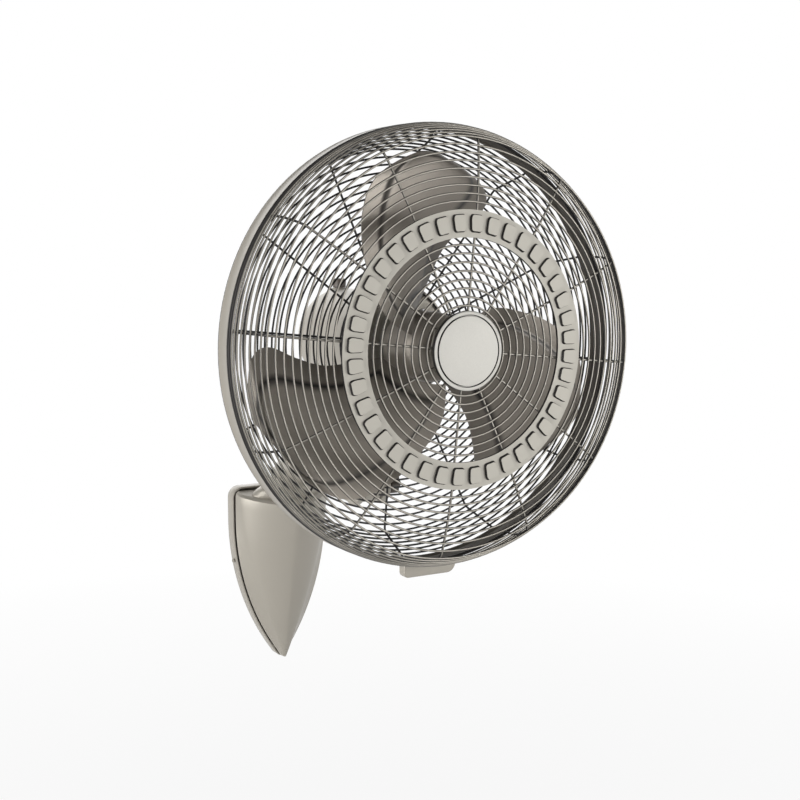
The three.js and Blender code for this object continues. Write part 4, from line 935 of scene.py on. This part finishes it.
def grille(name, face_y, corner_r, corner_y, rim_y, face_rings, side_count, spoke_from, outside,
           wire_metal, nodes):
    """One grille: its rings from the middle out, its rim wire and its spokes. Outside is 1 where the
    wires lie in front of the spokes, and -1 where they lie behind."""
    bm = bmesh.new()
    rings = [(r, face_y(r), WIRE) for r in face_rings]
    for i in range(1, side_count + 1):
        rings.append(side_place(corner_r, corner_y, rim_y, i / (side_count + 1)) + (WIRE,))
    rim = bmesh.new()
    rings.append((RIM_R, rim_y, RIM_WIRE))
    for r, y, thick in rings:
        ring = bmesh.new()
        section = Matrix.Translation((r, RIM_Y + y, AXIS_Z))
        bmesh.ops.create_circle(ring, cap_ends=False, radius=thick / 2, segments=8, matrix=section)
        steps = 48 if r < 0.1 else 96 if r < 0.2 else 144
        spun(ring, ring.verts[:] + ring.edges[:], HUB_LINE, (0, 1, 0), 2 * pi, steps, closed=True)
        added(rim if thick == RIM_WIRE else bm, ring)
    # Rim wires are painted black all over as shade.
    placed(name + "_rim", rim, "fan_head", black_shade_paint)
    lift = (WIRE + SPOKE_WIRE) / 2 * WELD_SINK
    bend_r = corner_r - BEND_BACK
    bend_y = face_y(bend_r) + outside * lift
    line = [(r, face_y(r) + outside * lift) for r in evenly(spoke_from, bend_r, 14)]
    side_line = []
    for share in evenly(0.14, 1.0, 9):
        r, y = side_place(corner_r, corner_y, rim_y, share)
        side_line.append((r - lift * (1 if share < 0.99 else 0.9), y))
    end_r, end_y = side_line[0]
    for share in (0.25, 0.5, 0.75):
        mid_r = corner_r - lift * 0.6
        mid_y = corner_y + outside * lift * 0.6
        first, middle, last = (1 - share) ** 2, 2 * share * (1 - share), share ** 2
        line.append((first * bend_r + middle * mid_r + last * end_r,
                     first * bend_y + middle * mid_y + last * end_y))
    line += side_line
    spoke = bmesh.new()
    follow(spoke, [(r, y, 0) for r, y in line], SPOKE_WIRE / 2, 8)
    turns = [-SPOKE_TURN - 2 * pi * number / SPOKES for number in range(SPOKES)]
    added(bm, spoke, *[Matrix.Translation(HUB_LINE) @ Matrix.Rotation(turn, 4, "Y") for turn in turns])
    placed(name, bm, "fan_head", wire_metal, nodes, bend=70)


grille("grille_front_wires", front_face_y, CORNER_R, FRONT_CORNER, -0.0019,
       evenly(0.0413, 0.1190, 8) + evenly(0.16707, CORNER_R, 8), 8, 0.034, 1, front_metal,
       ["front_grille_face", "front_grille_side"])
grille("grille_rear_wires", rear_face_y, REAR_CORNER_R, REAR_CORNER, BAND_DEEP + 0.0019,
       evenly(REAR_EYE, REAR_CORNER_R, 18), 6, 0.066, -1, rear_metal,
       ["rear_grille_face", "rear_grille_side"])

# ---------------------------------------------------------------------------------------------
# Cage plate: a pressed disc behind the rear grille, plated like the housing.
# Four zinc plated screws clamp it, and the grille with it, to the motor's front.
# ---------------------------------------------------------------------------------------------
disc = bmesh.new()
turned(disc, [(0.024, 0.0858), (0.0730, 0.0858), (0.074, 0.0866), (0.0738, 0.0876), (0.064, 0.0880),
              (0.062, 0.0912), (0.024, 0.0914), (0.024, 0.0858)], 96, HUB_LINE)
placed("cage_disc", disc, "fan_head", nickel, ["cage_plate"])
dressed(steel, "cage_screw_1", "cage_screw_2", "cage_screw_3", "cage_screw_4")

# ---------------------------------------------------------------------------------------------
# Trim ring: a thin cast ring in front of the wires, with forty raised pads like the keys of a dial.
# Each pad is a rounded square with cut outer corners, and the steep sides are painted dark as shade.
# ---------------------------------------------------------------------------------------------
TRIM_IN = 0.127
TRIM_BACK = FRONT_FLAT - 0.0018
TRIM_THICK = 0.0014
TRIM_EDGE = 0.0034
PAD_RISE = 0.0031
CELLS = 40
PAD_R = 0.1437
# The steep sides get painted shade in near black.
trim_metal = satin_nickel("trim_satin", (0.55, 0.525, 0.464), rough=0.55, metal=0.1, gloss=0.25,
                          sides=DARK_PAINTED_SHADE)
cell = bmesh.new()
half = pi / CELLS
outline = [(TRIM_IN, a) for a in (half, 0, -half)]
outline += [(TRIM_OUT, a) for a in (-half, -half / 2, 0, half / 2, half)]
face = cell.faces.new([cell.verts.new((r * cos(a), 0, r * sin(a))) for r, a in outline])
face.normal_update()
bmesh.ops.inset_individual(cell, faces=[face], thickness=0.0024, use_even_offset=True)
bmesh.ops.scale(cell, vec=(0.78, 1, 0.96), space=Matrix.Translation((-PAD_R, 0, 0)), verts=face.verts)
outer = sorted([v for v in face.verts if v.co.length > 0.15], key=lambda v: -abs(v.co.z))[:2]
inner = sorted([v for v in face.verts if v.co.length < 0.137], key=lambda v: -abs(v.co.z))[:2]
for picked, cut, segments in ((outer, 0.0064, 5), (inner, 0.0030, 3)):
    bmesh.ops.bevel(cell, geom=picked, offset=cut, offset_type="OFFSET", segments=segments,
                    profile=0.5, affect="VERTICES", material=-1)
pad = [max(cell.faces, key=lambda f: len(f.verts))]
raised = pushed(cell, pad, (0, -PAD_RISE, 0))
bmesh.ops.delete(cell, geom=[f for f in pad if f.is_valid], context="FACES_ONLY")
middle = sum((v.co for v in raised[0].verts), Vector()) / len(raised[0].verts)
bmesh.ops.scale(cell, vec=(0.88, 1, 0.88), space=Matrix.Translation(-middle), verts=raised[0].verts)
ring = bmesh.new()
trim_front = Matrix.Translation((0, RIM_Y + TRIM_BACK - TRIM_THICK, AXIS_Z))
added(ring, cell, *[trim_front @ Matrix.Rotation(2 * pi * (n + 0.5) / CELLS, 4, "Y") for n in range(CELLS)])
bmesh.ops.remove_doubles(ring, verts=ring.verts, dist=2e-5)
edge = [e for e in ring.edges if len(e.link_faces) == 1]
made = bmesh.ops.extrude_edge_only(ring, edges=edge)["geom"]
bmesh.ops.translate(ring, vec=(0, TRIM_EDGE, 0), verts=only(bmesh.types.BMVert, made))
bmesh.ops.bridge_loops(ring, edges=[e for e in ring.edges if len(e.link_faces) == 1])
eased(ring, 0.0003, bend=40)
placed("trim_ring_cast", ring, "fan_head", trim_metal, ["trim_ring"],
       bend=50, flats=True)

# ---------------------------------------------------------------------------------------------
# Badge: a turned disc in a stepped bezel at the centre of the grille, left bare on its faces, with painted
# shade in near black on its side walls.
# A plate and a screw behind it clamp it to the inner ends of the spokes.
# ---------------------------------------------------------------------------------------------
BADGE_R = 0.0453
badge_paint = Finish("badge_spun")
place = badge_paint.node("ShaderNodeTexCoord", out=3)
centred = badge_paint.node("ShaderNodeMapping", {}, {"Vector": place, "Location": (0, 0, -AXIS_Z)})
sideways = badge_paint.node("ShaderNodeSeparateXYZ", {}, {0: centred}, out="X")
height = badge_paint.node("ShaderNodeSeparateXYZ", {}, {0: centred}, out="Z")
radius = (sideways * sideways + height * height) ** 0.5
rings_noise = badge_paint.node("ShaderNodeTexNoise", {"noise_dimensions": "1D"},
                               {"W": radius * 2200.0, "Detail": 3.0})
speck = badge_paint.noise(700.0, detail=5.0)
grain = speck * 0.6 + rings_noise * 0.4
badge_tone = badge_paint.blend(grain, (0.60, 0.584, 0.54), (0.72, 0.703, 0.652))
# Faces turned sideways get near black as painted shade, and lose their shine.
normal = badge_paint.node("ShaderNodeTexCoord", out="Normal")
facing = badge_paint.node("ShaderNodeSeparateXYZ", {}, {0: normal}, out="Y")
front = badge_paint.node("ShaderNodeMapRange", {"interpolation_type": "SMOOTHSTEP"},
                         {0: facing * facing, 1: 0.20, 2: 0.62})
badge_metal = badge_paint.surface({
    "Base Color": badge_paint.blend(front, DARK_PAINTED_SHADE, badge_tone), "Metallic": front * 0.15,
    "Specular IOR Level": 0.25, "Roughness": 0.46 + rings_noise * 0.14}, bump=rings_noise, depth=0.00006)
badge_front = TRIM_BACK - 0.006
badge = bmesh.new()
turned(badge, [(0, TRIM_BACK - 0.002), (0.0433, TRIM_BACK - 0.002), (0.0433, TRIM_BACK),
               (0.0448, TRIM_BACK), (BADGE_R, TRIM_BACK - 0.0006),
               (BADGE_R, badge_front + 0.0027), (0.0449, badge_front + 0.0016),
               (0.0440, badge_front + 0.0010), (0.0425, badge_front + 0.0009),
               (0.0412, badge_front + 0.0013), (0.0406, badge_front + 0.0042),
               (0.0399, badge_front + 0.0042), (0.0394, badge_front + 0.0009),
               (0.0380, badge_front + 0.0006), (0.020, badge_front + 0.0002), (0, badge_front)],
       128, HUB_LINE)
placed("badge_disc", badge, "fan_head", badge_metal, ["badge"], bend=50)
dressed(nickel, "badge_clamp")
dressed(steel, "badge_screw")

# ---------------------------------------------------------------------------------------------
# Cage latch: a die cast block under the band, plated like it.
# It locks the two grilles and the band together.
# ---------------------------------------------------------------------------------------------
LATCH_HALF = 0.036
LATCH_DEEP = 0.013
LATCH_LEFT_ROUND = 0.006
LATCH_RIGHT_ROUND = 0.012
latch = bmesh.new()
seat = BAND_R + 0.0003
lean = asin(LATCH_HALF / seat)
start = latch.verts.new((LATCH_HALF, 0, -seat * cos(lean)))
far = arc_from(latch, start, (0, 0, 0), -2 * lean, 12)
low = -BAND_R - 0.016
left, right = -LATCH_HALF + LATCH_LEFT_ROUND, LATCH_HALF - LATCH_RIGHT_ROUND
at = line_from(latch, far, (-LATCH_HALF, 0, low + LATCH_LEFT_ROUND))
at = arc_from(latch, at, (left, 0, low + LATCH_LEFT_ROUND), pi / 2, 6)
at = line_from(latch, at, (right, 0, low))
at = arc_from(latch, at, (right, 0, low + LATCH_RIGHT_ROUND), pi / 2, 8)
bmesh.ops.remove_doubles(latch, verts=latch.verts, dist=1e-6)
ends = [v for v in latch.verts if len(v.link_edges) == 1]
if len(ends) == 2:
    latch.edges.new(ends)
latch_face = bmesh.ops.contextual_create(latch, geom=list(latch.edges))["faces"]
pushed(latch, latch_face, (0, -LATCH_DEEP, 0))
eased(latch, 0.0014, bend=40, segments=3)
bmesh.ops.translate(latch, vec=(0, RIM_Y + 0.017, AXIS_Z), verts=latch.verts)
placed("latch_block", latch, "fan_head", nickel, ["cage_latch"], flats=True)
